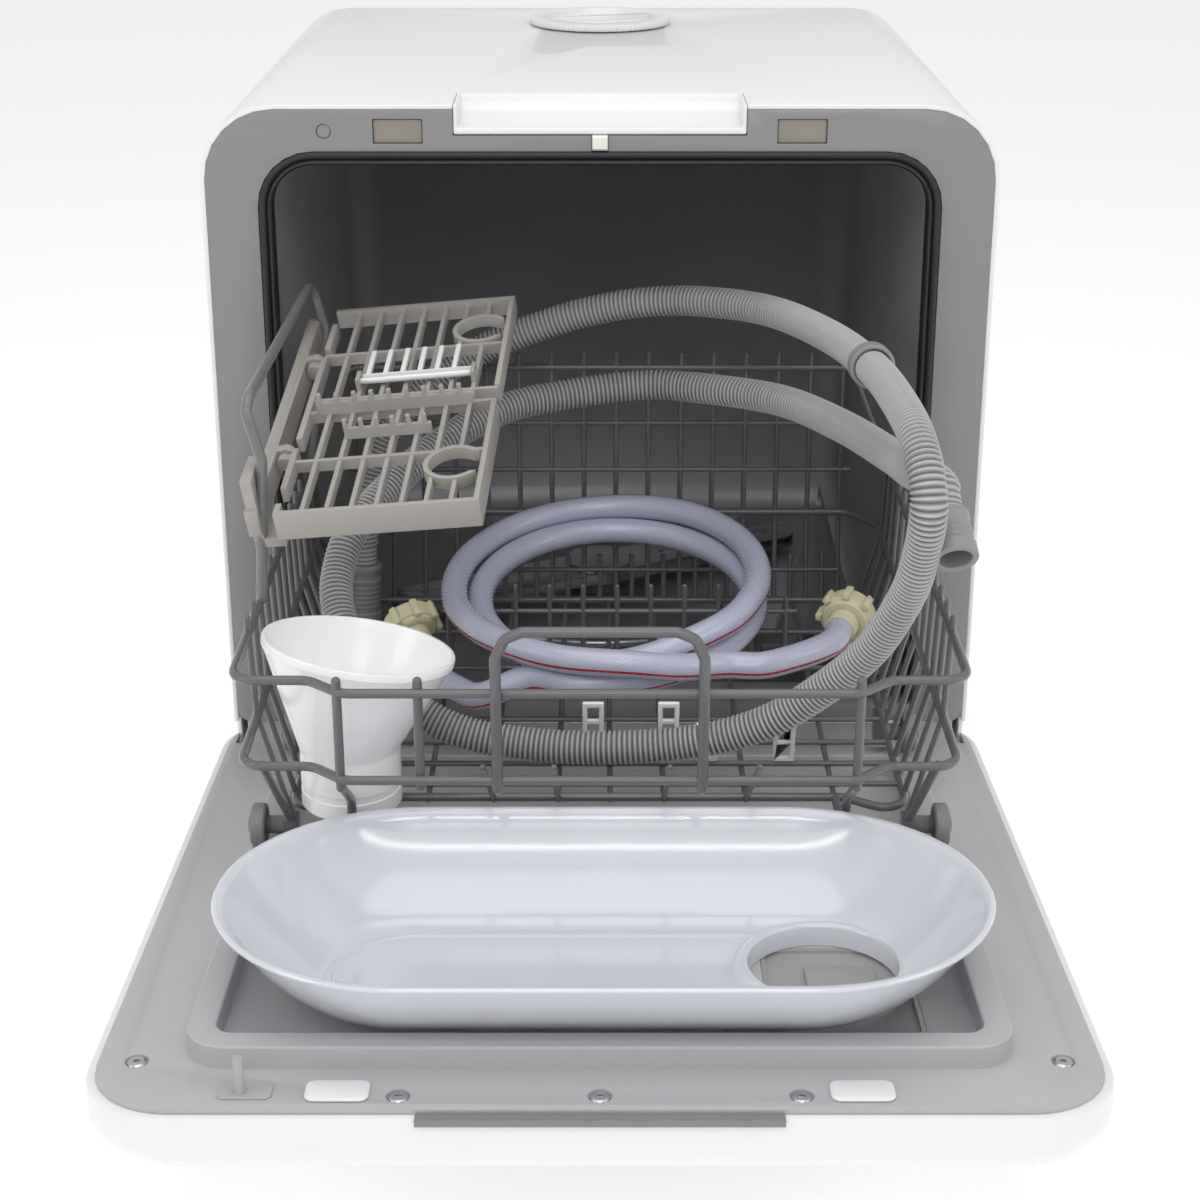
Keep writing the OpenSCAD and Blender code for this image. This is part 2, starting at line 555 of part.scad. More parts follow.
module door_panel() color("darkgray") on_door() difference() {
    union() {
        door_plate(-half_w + door_rim, -door_heel + door_rim, half_w - door_rim, door_reach - door_rim,
            face - panel_t, face, door_r - door_rim);
        door_plate(-ridge_half, ridge_near, ridge_half, ridge_far, face - 1, face + ridge_h, 18);
    }
    door_plate(-ridge_half + ridge_w, ridge_near + ridge_w, ridge_half - ridge_w, ridge_far - ridge_w,
        rim_top, face + ridge_h + 1, 8);
    door_plate(dispenser[0] - slit, dispenser[1] - slit, dispenser[2] + slit, dispenser[3] + slit, 0, face, 6);
    for (p = post_spots) translate([p[0], -p[1], 0]) {
        cylinder(h = face + 1, d = 3.8, $fn = 16);
        translate([0, 0, face - 1.4]) cylinder(h = 3, d = 10, $fn = 32);
    }
    // rounded heel, so that the door clears the sill as it closes
    difference() {
        box(-half_w, door_heel - 12, face - 8, half_w, door_heel + 1, face + 1);
        translate([-half_w - 1, door_heel - 12, face - 12]) rotate([0, 90, 0]) cylinder(h = casing_w + 2, r = 12, $fn = 48);
    }
    bracket_slot();
}
module magnet_caps() color("whitesmoke") on_door() both_sides()
    door_plate(92, 355.5, 118, 370, face, face + 1.7, 4);
module door_pin() color("gray") on_door() {
    door_plate(-153, 355, -131, 368, face, face + 0.8, 3);
    translate([-switch_x, -364, face]) cylinder(h = 17, d = 4.5, $fn = 24);
}
module door_screws() color("silver") on_door() for (p = post_spots) translate([p[0], -p[1], face - 1.4]) {
    difference() {
        cylinder(h = 1.6, d = 8.6, $fn = 32);
        cylinder(h = 3, d = 3.6, $fn = 6);
    }
    translate([0, 0, -12]) cylinder(h = 12.2, d = 3.4, $fn = 16);
}
module grip_strip() color("darkgray") on_door() {
    box(-73, -door_reach - door_lip, face - 10, 73, -door_reach, face - 0.5);
    box(-73, -door_reach - 1, rim_top, 73, -door_reach + door_rim, face - 0.5);
}
module dispenser_body() color("silver") on_door() difference() {
    door_plate(dispenser[0], dispenser[1], dispenser[2], dispenser[3], 8, rim_top, 6);
    door_plate(dispenser[0] + 2, dispenser[1] + 2, dispenser[2] - 2, dispenser[3] - 2, well_top, face, 4);
    door_plate(lid_box[0] + 2, lid_box[1] + 2, lid_box[2] - 2, lid_box[3] - 2, 12, face, 2);
    door_plate(lid_box[0] + 2, lid_box[3] + 5, lid_box[2] - 3, lid_box[3] + 8, well_top - 6, face, 1.4);
}
module dispenser_lid() color("silver") on_door()
    door_plate(lid_box[0], lid_box[1], lid_box[2], lid_box[3], well_top + 0.05, well_top + lid_t, 2);
module control_board() color("seagreen") on_door() {
    door_plate(-76, button_r - 13, 76, button_r + 13, 4, 5.6, 1);
    for (x = [-72, 72], y = [-9, 9]) translate([x, -button_r + y, outer + door_wall]) cylinder(h = 4 - outer - door_wall, d = 6, $fn = 16);
}
module button(x) color("gray") on_door() translate([x, -button_r, 0]) {
    translate([0, 0, outer - 1.2]) cylinder(h = door_wall + 3, d = button_d, $fn = 32);
    translate([0, 0, outer + door_wall + 0.4]) cylinder(h = 1.5, d = button_d + 3, $fn = 32);
}
module button_power() button(button_xs[0]);
module button_program() button(button_xs[1]);
module button_start() button(button_xs[2]);

// ---------- basin on the door ----------

// Stadium slab of the basin, inset from the rim's outline, from height h0 to h1
module basin_slab(inset, h0, h1) translate([basin_x, -basin_mid, h0]) linear_extrude(h1 - h0)
    polygon(concat(arc(basin_half - basin_r, 0, basin_r - inset, -90, 90, 16),
        arc(basin_r - basin_half, 0, basin_r - inset, 90, 270, 16)));
basin_steps = [for (p = [[0, 1], [0.08, 0.88], [0.3, 0.56], [0.56, 0.28], [0.74, 0.14], [1, 0]])
    [p[0] * 44, p[1] * basin_h]];    // inset from the rim and height, from the rim down
module basin_form(skin) hull() for (s = basin_steps)
    basin_slab(s[0] + skin, basin_bottom + s[1] + skin, basin_bottom + s[1] + skin + 0.05);
module basin() color("aliceblue") on_door() difference() {
    union() {
        difference() {
            basin_form(0);
            basin_form(basin_wall);
            basin_slab(basin_wall, basin_bottom + basin_h - 0.2, basin_bottom + basin_h + 5);
        }
        translate([hole_x, -hole_mid, basin_foot]) cylinder(h = basin_bottom - basin_foot + 1, r = basin_hole_r + 4, $fn = 64);
        translate([hole_x, -hole_mid, basin_bottom]) cylinder(h = 7, r1 = basin_hole_r + 8, r2 = basin_hole_r + 3, $fn = 64);
        for (s = [-1, 1]) translate([-90, -basin_mid + s * 26, basin_foot]) cylinder(h = basin_bottom - basin_foot + 1, d = 12, $fn = 32);
    }
    translate([hole_x, -hole_mid, 0]) cylinder(h = 90, r = basin_hole_r, $fn = 64);
}

// ---------- rack ----------

// Path of a side and front rail, from the left rear to the right rear
function rail_path(half, z, back_z) = [[-148, rack_back, back_z], [-half, rack_back - 24, z], [-half, rack_corner, z],
    [-jog_out, rack_corner, z], [-jog_in, rack_front, z], [jog_in, rack_front, z], [jog_out, rack_corner, z],
    [half, rack_corner, z], [half, rack_back - 24, z], [148, rack_back, back_z]];
front_xs = [-117, -81, 116];
toe_xs = [-117, 116];
toe_y = -215.6;
heel_xs = [-52.6, -20.7, 31.6, 72];
module rack_frame() color("dimgray") {
    wire(rail_path(rack_half, top_rail, back_top), rail_d);
    wire(rail_path(low_half, low_rail, low_rail), rail_d);
    wire([[-148, rack_back, back_top], [148, rack_back, back_top]], wire_d + 0.6);
    for (z = [232, 203]) stick([-149, rack_back, z], [149, rack_back, z], wire_d);
    // side walls
    for (s = [-1, 1], y = [floor_corner + 4:pitch:rack_back - 30]) {
        stick([s * floor_half, y, rack_floor], [s * low_half, y, low_rail], wire_d);
        stick([s * low_half, y, low_rail], [s * rack_half, y, top_rail + tip], wire_d);
    }
    // rear wall
    for (x = [-142.5:pitch:143]) {
        stick([x, floor_back, rack_floor], [x, rack_back, 170], wire_d);
        stick([x, rack_back, 170], [x, rack_back, back_top + tip], wire_d);
    }
    // front wall
    for (x = front_xs) stick([x, rack_front + 3, low_rail - 5], [x, rack_front + 2, top_rail + 5], rail_d);
    for (x = toe_xs) wire([[x, rack_front + 3, low_rail - 4], [x, toe_y, 146], [x, toe_y, rack_floor + 5],
        [x, toe_y + 5, rack_floor], [x, floor_front, rack_floor]], rail_d);
    for (x = heel_xs) stick([x, floor_front, rack_floor], [x, rack_front + 3, low_rail + 5], wire_d);
    for (s = [-1, 1]) stick([s * floor_half, floor_corner, rack_floor], [s * 154, rack_corner + 1, low_rail], rail_d);
    // floor edge
    wire([[-floor_half, floor_back, rack_floor], [-floor_half, floor_corner, rack_floor],
        [-120, floor_front, rack_floor], [120, floor_front, rack_floor], [floor_half, floor_corner, rack_floor],
        [floor_half, floor_back, rack_floor], [-floor_half, floor_back, rack_floor]], rail_d);
    // handle
    wire([[-handle_half, rack_front - 0.2, low_rail - 4], [-handle_half, rack_front - 5, top_rail],
        [-handle_half, rack_front - 5, handle_h - handle_bend], [-handle_half + 4, rack_front - 4, handle_h - 3],
        [-handle_half + handle_bend, rack_front - 3, handle_h], [handle_half - handle_bend, rack_front - 3, handle_h],
        [handle_half - 4, rack_front - 4, handle_h - 3], [handle_half, rack_front - 5, handle_h - handle_bend],
        [handle_half, rack_front - 5, top_rail], [handle_half, rack_front - 0.2, low_rail - 4]], rail_d + 0.6);
}
module rack_floor_grid() color("dimgray") {
    for (y = [-158, -136, -112, -85, -55, -20, 30])
        stick([-floor_half + 2, y, rack_floor], [floor_half - 2, y, rack_floor], wire_d);
    low = rack_floor - wire_d * 0.8;
    for (x = [-120, -85, -52.6, -20.7, 5, 31.6, 72, 116])
        stick([x, floor_front + 2, low], [x, floor_back - 2, low], wire_d);
}
// Height that a tine may reach below the coil that lies on the rack
function coil_floor(y) = coil_at.z + (y - coil_at.y) * tan(coil_tilt) - coil_h / 2 / cos(coil_tilt) - 1.2;
module tine_rows() color("dimgray") {
    for (x = [-95 + 9.5:pitch:115]) stick([x, 0, rack_floor], [x, 0,
        abs(x - coil_at.x) < coil_in - 8 ? 165 : coil_floor(0)], wire_d);
    stick([-88, 0, 150], [110, 0, 150], wire_d);
    for (x = [-57:pitch:140]) stick([x, floor_back + 1, rack_floor], [x, floor_back + 6, 150], wire_d);
    stick([-60, floor_back + 4, 142], [142, floor_back + 4, 142], wire_d);
}
module tine_clips() color("white") for (p = [[-3.5, -112], [35.3, -112], [54, -136], [93, -136]])
    translate([p[0], p[1], rack_floor + wire_d / 2 + 0.2]) rotate([12, 0, 0]) difference() {
        box(-5.5, -1.2, 0, 5.5, 1.2, 24);
        for (z = [2.5, 13]) box(-3, -2, z, 3, 2, z + 8);
    }
wheel_drop = ridge_h + face + gap;
function wheel_z(y) = hinge_z + (hinge_y - y) * sin(door_tilt) + wheel_drop * cos(door_tilt) + wheel_d / 2;
module wheel_axles() color("dimgray") both_sides() for (y = [front_wheel_y, rear_wheel_y]) {
    translate([floor_half + 1, y, wheel_z(y)]) rotate([0, 90, 0])
        cylinder(h = wheel_x + wheel_w / 2 + 1 - floor_half - 1, d = axle_d, $fn = 32);
    translate([floor_half + 1, y, wheel_z(y)]) rotate([0, 90, 0]) cylinder(h = wheel_x - wheel_w / 2 - gap - floor_half - 1, d = 9, $fn = 32);
    box(floor_half - 3, y - 5, wheel_z(y) - 4.5, floor_half + 4, y + 5, rack_floor - rail_d / 2);
    translate([wheel_x + wheel_w / 2 + 0.3, y, wheel_z(y)]) rotate([0, 90, 0]) cylinder(h = 1, d = 8, $fn = 24);
}
module wheel(side, y) color("dimgray") translate([side * wheel_x - wheel_w / 2, y, wheel_z(y)]) rotate([0, 90, 0])
    difference() {
        cylinder(h = wheel_w, d = wheel_d, $fn = 64);
        translate([0, 0, -1]) cylinder(h = wheel_w + 2, d = axle_d + 2 * fit, $fn = 32);
    }
module wheel_front_left() wheel(-1, front_wheel_y);
module wheel_front_right() wheel(1, front_wheel_y);
module wheel_rear_left() wheel(-1, rear_wheel_y);
module wheel_rear_right() wheel(1, rear_wheel_y);

// ---------- folding shelf ----------

bail_path = [[-164.5, -150, top_rail + 2], [-161, -150, 292], [-168, -147, 316], [-167, -140, 321],
    [-158, 18, 333], [-156, 24, 329], [-151, 25, 307], [-164, 25, top_rail + 2]];
module shelf_bail() color("gray") wire(bail_path, 5.4);
module shelf_bracket() color("lightgray") difference() {
    on_shelf() {
        box(-10.5, 6, -16, hinge_x - 4.2, shelf_l - 4, -2);
        box(-9.5, 8, -24, 6, 31, -19);
        box(-9.5, 8, -24, hinge_x - 4.2, 31, 14);
        for (y = [60, 150]) difference() {
            union() {
                box(hinge_x - 5, y, -14, hinge_x, y + 5, -2);
                translate([hinge_x, y, hinge_h]) rotate([-90, 0, 0]) cylinder(h = 5, r = 4.5, $fn = 32);
            }
            translate([hinge_x, y - 1, hinge_h]) rotate([-90, 0, 0]) cylinder(h = 8, d = 4 + 2 * fit, $fn = 32);
        }
    }
    wire(bail_path, 5.8);
}
// Ring that holds a cup, open to the right
module cup_ring(y) translate([shelf_w - 16, y, -7]) difference() {
    cylinder(h = 6.5, r = 15, $fn = 48);
    translate([0, 0, -1]) cylinder(h = 9, r = 12.4, $fn = 48);
    box(8, -9, -1, 20, 9, 8);
}
module shelf() color("lightgray") on_shelf() {
    lug = 2;
    difference() {
        union() {
            box(5, 0, -shelf_wall, shelf_w, 2.6, 0);
            box(5, shelf_l - 3, -10, shelf_w, shelf_l, 0);
            box(5, 0, -8, 8, 9, 0);
            box(5, 22, -8, 8, 58, 0);
            box(5, 67, -8, 8, 148, 0);
            box(5, 157, -8, 8, 184, 0);
            box(shelf_w - 2.6, 0, -shelf_wall, shelf_w, 92, 0);
            box(shelf_w - 2.6, 106, -10, shelf_w, shelf_l, 0);
            for (x = [5 + slat_pitch:slat_pitch:shelf_w - 6]) box(x, 1, -7, x + 2.2, shelf_l - 1, -1.5);
            for (y = [46, 92, 104, 150]) box(6, y, -7, shelf_w - 1, y + 2.4, -1);
            box(12, 91, -2, shelf_w - 12, 93.4, 5);
            for (x = [13:9:shelf_w - 14]) box(x, 91, -2, x + 2, 93.4, 10);
            box(30, 66, -2, 74, 68.4, 4);
            for (x = [30:8:74]) box(x, 66, -2, x + 2, 68.4, 9);
        }
        for (y = [36, 168]) translate([shelf_w - 16, y, -9]) cylinder(h = 20, r = 12.4, $fn = 48);
    }
    for (y = [36, 168]) cup_ring(y);
    // hinge lugs and pins
    for (y = [53, 143]) {
        box(hinge_x, y, -9, 7, y + 5, -3);
        translate([hinge_x, y, hinge_h]) rotate([-90, 0, 0]) cylinder(h = 13, d = 4, $fn = 32);
        translate([hinge_x, y, hinge_h]) rotate([-90, 0, 0]) cylinder(h = 5, r = 3.6, $fn = 32);
    }
    // ears that carry the flip comb
    for (x = comb_ears) difference() {
        box(x, 112, -7, x + lug, 122, 5);
        translate([x - 1, 117, 1.5]) rotate([0, 90, 0]) cylinder(h = 4, d = 3 + 2 * fit, $fn = 24);
    }
}
module shelf_comb() color("white") on_shelf() {
    translate([comb_ears[0], 117, 1.5]) rotate([0, 90, 0]) cylinder(h = comb_ears[1] + 2 - comb_ears[0], d = 3, $fn = 24);
    box(comb_ears[0] + 2.6, 115.8, 0.3, comb_ears[1] - 0.6, 122, 2.7);
    for (x = [comb_ears[0] + 4:9:comb_ears[1] - 4]) box(x, 116, 0.3, x + 2.4, 146, 2.7);
}

// ---------- hoses and funnel that lie in the rack ----------

module drain_hose() color("gray") tube(drain_route, hose_d, 10);
module cuff(at, towards, length) {
    v = unit(towards - at);
    difference() {
        union() {
            rod(at, at + v * length, cuff_d, 40);
            rod(at + v * (length - 3), at + v * length, cuff_d + 1.6, 40);
        }
        rod(at + v * 6, at + v * (length + 2), cuff_d - 5, 40);
    }
}
module drain_cuffs() color("darkgray") {
    cuff([158.65, -195.3, 280.8], [160.6, -213.3, 267.9], 24);
    cuff([-137, 42.9, 161.8], [-138, 39.9, 133.8], 35.5);
    // ring clipped round the hose, with its tab
    difference() {
        rod([134, -104, 324.3], [133, -96, 324.3], hose_d + 5, 40);
        rod([135, -112, 324.3], [132, -88, 324.3], hose_d + 0.8, 40);
    }
}
module inlet_hose() color("lavender") {
    tube(inlet_left, inlet_d, 10);
    tube(inlet_right, inlet_d, 10);
}
module inlet_coil() color("lavender") translate(coil_at) rotate([coil_tilt, 0, 0])
    rotate_extrude($fn = 96) translate([0, -coil_h / 2]) polygon(rounded(coil_in, 0, coil_out, coil_h, 7, 7, 4));
// Winged union nut with its ferrule, from the hose's end
module nut(at, towards) {
    v = unit(towards - at);
    translate(at) rotate([0, acos(v.z), atan2(v.y, v.x)]) {
        cylinder(h = 10, d = inlet_d + 1.6, $fn = 32);
        translate([0, 0, 10]) difference() {
            union() {
                cylinder(h = 14, d = 29, $fn = 48);
                for (a = [0:45:315]) rotate([0, 0, a]) translate([13, -2, 0]) cube([4, 4, 13]);
            }
            translate([0, 0, 3]) cylinder(h = 20, d = 24, $fn = 48);
        }
    }
}
module inlet_nuts() color("palegoldenrod") {
    nut([-98.1, -43.8, 148.65], [-102.6, -34.8, 154.15]);
    nut([129.1, -54.8, 162.55], [134.1, -42.8, 164.05]);
}
funnel_y = -188;
module funnel() color("white") {
    difference() {
        hull() {
            translate([-114, funnel_y, 212]) rotate([-8, 9, 0]) cylinder(h = 1.5, d = 92, $fn = 32);
            translate([-120, funnel_y, 162]) cylinder(h = 1, d = 49, $fn = 32);
        }
        hull() {
            translate([-114, funnel_y, 212.5]) rotate([-8, 9, 0]) cylinder(h = 3, d = 88, $fn = 32);
            translate([-120, funnel_y, 160]) cylinder(h = 1, d = 44.5, $fn = 32);
        }
    }
    difference() {
        union() {
            translate([-120, funnel_y, 132]) cylinder(h = 31, d = 48.4, $fn = 48);
            translate([-120, funnel_y, 126.8]) cylinder(h = 8, d1 = 26, d2 = 30, $fn = 32);
        }
        translate([-120, funnel_y, 134]) cylinder(h = 60, d = 44.5, $fn = 48);
        translate([-120, funnel_y, 120]) cylinder(h = 20, d = 20, $fn = 32);
    }
}

cabinet_shell();
front_frame();
tub();
tub_gasket();
strike_plates();
latch_piece();
latch_spring();
switch_plunger();
door_switch();
handle_cup();
fill_cap();
base_pan();
feet();
back_panel();
rear_spacers();
inlet_valve();
drain_port();
cord_gland();
spray_arm();
spray_hub();
sump();
filter();
wash_pump();
drain_pump();
heater();
water_tank();
hinge_brackets();
hinge_pins();
door_shell();
door_panel();
magnet_caps();
door_pin();
door_screws();
grip_strip();
dispenser_body();
dispenser_lid();
control_board();
button_power();
button_program();
button_start();
basin();
rack_frame();
rack_floor_grid();
tine_rows();
tine_clips();
wheel_axles();
wheel_front_left();
wheel_front_right();
wheel_rear_left();
wheel_rear_right();
shelf_bail();
shelf_bracket();
shelf();
shelf_comb();
drain_hose();
drain_cuffs();
inlet_hose();
inlet_coil();
inlet_nuts();
funnel();
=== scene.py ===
"""Looks of a countertop dishwasher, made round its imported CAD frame. Shapes are in millimetres."""

import math

import bmesh
import bpy
from bpy.props import FloatProperty, FloatVectorProperty, IntProperty, PointerProperty
from bpy.types import Operator, Panel, PropertyGroup
from mathutils import Matrix, Vector


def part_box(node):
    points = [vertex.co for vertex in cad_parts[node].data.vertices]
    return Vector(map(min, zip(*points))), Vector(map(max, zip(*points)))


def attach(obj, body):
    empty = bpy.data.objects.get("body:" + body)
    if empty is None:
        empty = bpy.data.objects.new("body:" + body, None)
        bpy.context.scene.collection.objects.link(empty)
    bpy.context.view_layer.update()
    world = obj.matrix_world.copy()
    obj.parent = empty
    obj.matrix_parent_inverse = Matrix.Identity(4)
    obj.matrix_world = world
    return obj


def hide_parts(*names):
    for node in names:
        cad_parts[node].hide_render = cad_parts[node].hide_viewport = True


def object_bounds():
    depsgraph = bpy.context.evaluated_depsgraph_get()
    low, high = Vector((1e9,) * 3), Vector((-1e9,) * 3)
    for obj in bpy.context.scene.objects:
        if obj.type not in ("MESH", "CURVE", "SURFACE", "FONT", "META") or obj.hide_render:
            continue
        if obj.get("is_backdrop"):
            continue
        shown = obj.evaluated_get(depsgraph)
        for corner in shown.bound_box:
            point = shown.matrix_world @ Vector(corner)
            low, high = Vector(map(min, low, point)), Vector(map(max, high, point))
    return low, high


bl_info = {
    "name": "Countertop Dishwasher",
    "version": (1, 0, 0),
    "blender": (4, 5, 0),
    "location": "View3D > Sidebar > Dishwasher",
    "description": "Makes the casing, door, rack, hoses and finishes of a countertop dishwasher",
    "category": "Add Mesh",
}

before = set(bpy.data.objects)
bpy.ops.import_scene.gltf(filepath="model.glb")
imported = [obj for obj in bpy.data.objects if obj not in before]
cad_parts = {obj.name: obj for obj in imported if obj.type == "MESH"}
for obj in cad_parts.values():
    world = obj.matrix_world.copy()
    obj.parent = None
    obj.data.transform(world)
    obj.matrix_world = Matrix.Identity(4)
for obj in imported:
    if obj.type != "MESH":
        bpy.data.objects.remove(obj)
CAD_LOW, CAD_HIGH = (v.copy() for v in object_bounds())

MM = 0.001
CORNER_STEPS = 10

# ---------- main sizes of the frame, in millimetres ----------

HALF_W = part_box("cabinet_shell")[1].x / MM
OPENING = (-180.2, 92, 180.2, 410.5)  # left, low, right, top
OPENING_R = 30
SEAL_W = 7
STRIKE = (105.4, 421, 25.6, 12.5)  # middle across, middle up, width, height

HINGE_Y, HINGE_Z, TILT = -33, 56, math.radians(3.5)
DOOR_REACH, DOOR_HEEL, DOOR_R, DOOR_RIM = 379, 30, 38, 4
FACE, OUTER, RIM_TOP = 31, -8, 29
RIDGE_H = 10
# (across, distance from the hinge)
SCREWS = [(-190, 339), (190, 339), (-80.5, 365), (80.5, 365), (0, 365)]
BRACKET_X, BRACKET_T = 199, 5
BUTTON_XS, BUTTON_R = (-40, 0, 40), 338

BASIN_X, BASIN_MID, BASIN_HALF, BASIN_R = 1.5, 275.5, 167, 84
BASIN_BOTTOM, BASIN_H, BASIN_WALL = 33, 43, 2.4
BASIN_HOLE = (98, 271, 33)  # across, distance from the hinge, radius

RACK_HALF, RACK_FRONT, RACK_CORNER, RACK_BACK = 166, -254, -240, 90
RACK_FLOOR, LOW_RAIL, TOP_RAIL, BACK_TOP, HANDLE_H = 124, 176, 219, 266, 250
JOG_OUT, JOG_IN = 131, 115
FLOOR_HALF, FLOOR_FRONT, FLOOR_CORNER, FLOOR_BACK = 150, -172, -192, 78
LOW_HALF = 164
WHEEL_W = 7

# Wires that differ from the settings, in metres
RAIL_BEND, HANDLE_WIRE, HANDLE_BEND, BAIL_WIRE, BAIL_BEND = 0.011, 0.005, 0.006, 0.0054, 0.009

COIL_AT = Vector((9.5, -15, 171))
COIL_TILT = math.radians(8.6)
FUNNEL_X, FUNNEL_Y = -120, -188

# Stage, in metres
CAMERA_AT, CAMERA_PITCH, LENS, LENS_SHIFT = (0, -1.1244, 0.6313), math.radians(69.759), 65.04, -0.0833
FLOOR_REACH, FLOOR_GLOW, SKY_GLOW = 30.0, 0.27, 0.64
# (name, place, target, size, power, depth of a strip)
LIGHTS = [
    ("top light", (0.0, -0.25, 1.9), (0, 0.0, 0.2), 1.5, 8, None),
    ("left light", (-1.9, -1.1, 1.3), (0, 0, 0.2), 1.0, 6, None),
    ("right light", (1.9, -1.0, 1.3), (0, 0, 0.2), 1.0, 5, None),
    ("front light", (0.0, -2.3, 1.7), (0, -0.1, 0.2), 1.2, 8, None),
    ("strip light", (0.0, -1.0, 1.25), (0, -0.25, 0.1), 1.3, 1.6, 0.04),
]

# Routes of the hoses, in metres, from one end to the other
DRAIN_ROUTE = [
    (0.1586, -0.195, 0.281), (0.1569, -0.181, 0.291), (0.150, -0.150, 0.286), (0.1437, -0.110, 0.281),
    (0.125, -0.050, 0.277), (0.098, 0.005, 0.273), (0.056, 0.040, 0.269), (0.023, 0.050, 0.2676),
    (-0.022, 0.045, 0.263), (-0.056, 0.030, 0.259), (-0.088, 0.000, 0.249), (-0.112, -0.030, 0.236),
    (-0.130, -0.060, 0.222), (-0.136, -0.080, 0.207), (-0.135, -0.097, 0.195), (-0.127, -0.115, 0.181),
    (-0.106, -0.130, 0.162), (-0.075, -0.140, 0.146), (-0.040, -0.145, 0.140), (0.000, -0.150, 0.140),
    (0.045, -0.153, 0.1446), (0.080, -0.158, 0.157), (0.107, -0.165, 0.178), (0.129, -0.180, 0.207),
    (0.141, -0.198, 0.240), (0.145, -0.212, 0.266), (0.146, -0.222, 0.298), (0.143, -0.200, 0.319),
    (0.139, -0.150, 0.324), (0.133, -0.100, 0.324), (0.119, -0.040, 0.322), (0.093, 0.020, 0.319),
    (0.056, 0.052, 0.316), (0.023, 0.064, 0.312), (-0.011, 0.070, 0.304), (-0.048, 0.072, 0.291),
    (-0.072, 0.072, 0.280), (-0.098, 0.069, 0.262), (-0.119, 0.062, 0.240), (-0.131, 0.054, 0.215),
    (-0.136, 0.046, 0.190), (-0.137, 0.043, 0.162),
]
INLET_LEFT = [
    (-0.098, -0.044, 0.1485), (-0.0935, -0.053, 0.143), (-0.086, -0.066, 0.1395),
    (-0.075, -0.080, 0.139), (-0.062, -0.092, 0.141),
]
INLET_RIGHT = [
    (0.084, -0.091, 0.158), (0.098, -0.086, 0.159), (0.112, -0.078, 0.160),
    (0.124, -0.067, 0.161), (0.129, -0.055, 0.1625),
]


# ---------- settings ----------


def length_setting(name, description, metres):
    return FloatProperty(name=name, description=description, default=metres, unit="LENGTH")


def colour_setting(name, description, value):
    return FloatVectorProperty(
        name=name, description=description, default=value, subtype="COLOR", min=0, max=1)


class DishwasherSizes(PropertyGroup):
    """Sizes that a user would change"""

    rail: length_setting("Rail", "Diameter of the rack's rails", 0.0044)
    wire: length_setting("Wire", "Diameter of the rack's wires", 0.003)
    bend: length_setting("Bend", "Inner radius of a wire's bends", 0.007)
    pitch: length_setting("Wire pitch", "Spacing of upright wires", 0.019)
    edge: length_setting("Edge", "Radius of moulded edges", 0.0006)
    ring_pitch: length_setting("Ring pitch", "Spacing of the drain hose's rings", 0.0026)
    ring_depth: length_setting("Ring depth", "Depth of the grooves between the rings", 0.0016)
    drain_d: length_setting("Drain hose", "Diameter over the drain hose's rings", 0.0175)
    inlet_d: length_setting("Inlet hose", "Diameter of the inlet hose", 0.0144)
    lugs: IntProperty(name="Lugs", description="Wings round a union nut", default=8, min=4, max=12)


class DishwasherColours(PropertyGroup):
    """Colours that a user would change"""

    white: colour_setting("White", "Casing, door edge and cap", (0.80, 0.80, 0.81))
    front: colour_setting("Front", "Frame round the opening", (0.245, 0.24, 0.24))
    inner: colour_setting("Inner door", "Inner panel of the door", (0.45, 0.448, 0.458))
    tub: colour_setting("Tub", "Steel of the tub", (0.34, 0.34, 0.35))
    wire: colour_setting("Wire", "Coating of the rack", (0.12, 0.12, 0.125))
    shelf: colour_setting("Shelf", "Plastic of the folding shelf", (0.37, 0.35, 0.325))
    drain: colour_setting("Drain hose", "Plastic of the drain hose", (0.46, 0.46, 0.46))
    inlet: colour_setting("Inlet hose", "Sleeve of the inlet hose", (0.46, 0.47, 0.60))
    stripe: colour_setting("Stripe", "Line along the inlet hose", (0.42, 0.015, 0.02))
    nut: colour_setting("Nut", "Union nuts", (0.64, 0.61, 0.40))
    basin: colour_setting("Basin", "Milky plastic of the basin", (0.86, 0.88, 0.94))


def sizes():
    return bpy.context.scene.dishwasher_sizes


def colours():
    return bpy.context.scene.dishwasher_colours


# ---------- outlines ----------


def arc(cx, cy, r, start, end, steps=CORNER_STEPS):
    turn = [math.radians(start + (end - start) * i / steps) for i in range(steps + 1)]
    return [(cx + r * math.cos(a), cy + r * math.sin(a)) for a in turn]


def rounded(x0, y0, x1, y1, top_r, low_r=None, steps=CORNER_STEPS):
    """Rounded rectangle, anticlockwise from its right top corner."""
    low_r = top_r if low_r is None else low_r
    return (arc(x1 - top_r, y1 - top_r, top_r, 0, 90, steps)
            + arc(x0 + top_r, y1 - top_r, top_r, 90, 180, steps)
            + arc(x0 + low_r, y0 + low_r, low_r, 180, 270, steps)
            + arc(x1 - low_r, y0 + low_r, low_r, 270, 360, steps))


def full_turn(steps):
    return [math.tau * k / steps for k in range(steps)]


def at_y(outline, y):
    return [(x, y, z) for x, z in outline]


def at_h(outline, h):
    """Outline on the door, drawn as x and distance from the hinge, at height h in the door's frame."""
    return [(x, -r, h) for x, r in outline]


def door_matrix():
    return Matrix.Translation((0, HINGE_Y, HINGE_Z)) @ Matrix.Rotation(-TILT, 4, "X")


def along(start, end):
    """Matrix that puts the Z axis on the line from start towards end."""
    start, end = Vector(start), Vector(end)
    return Matrix.Translation(start) @ (end - start).to_track_quat("Z", "Y").to_matrix().to_4x4()


# ---------- shapes ----------


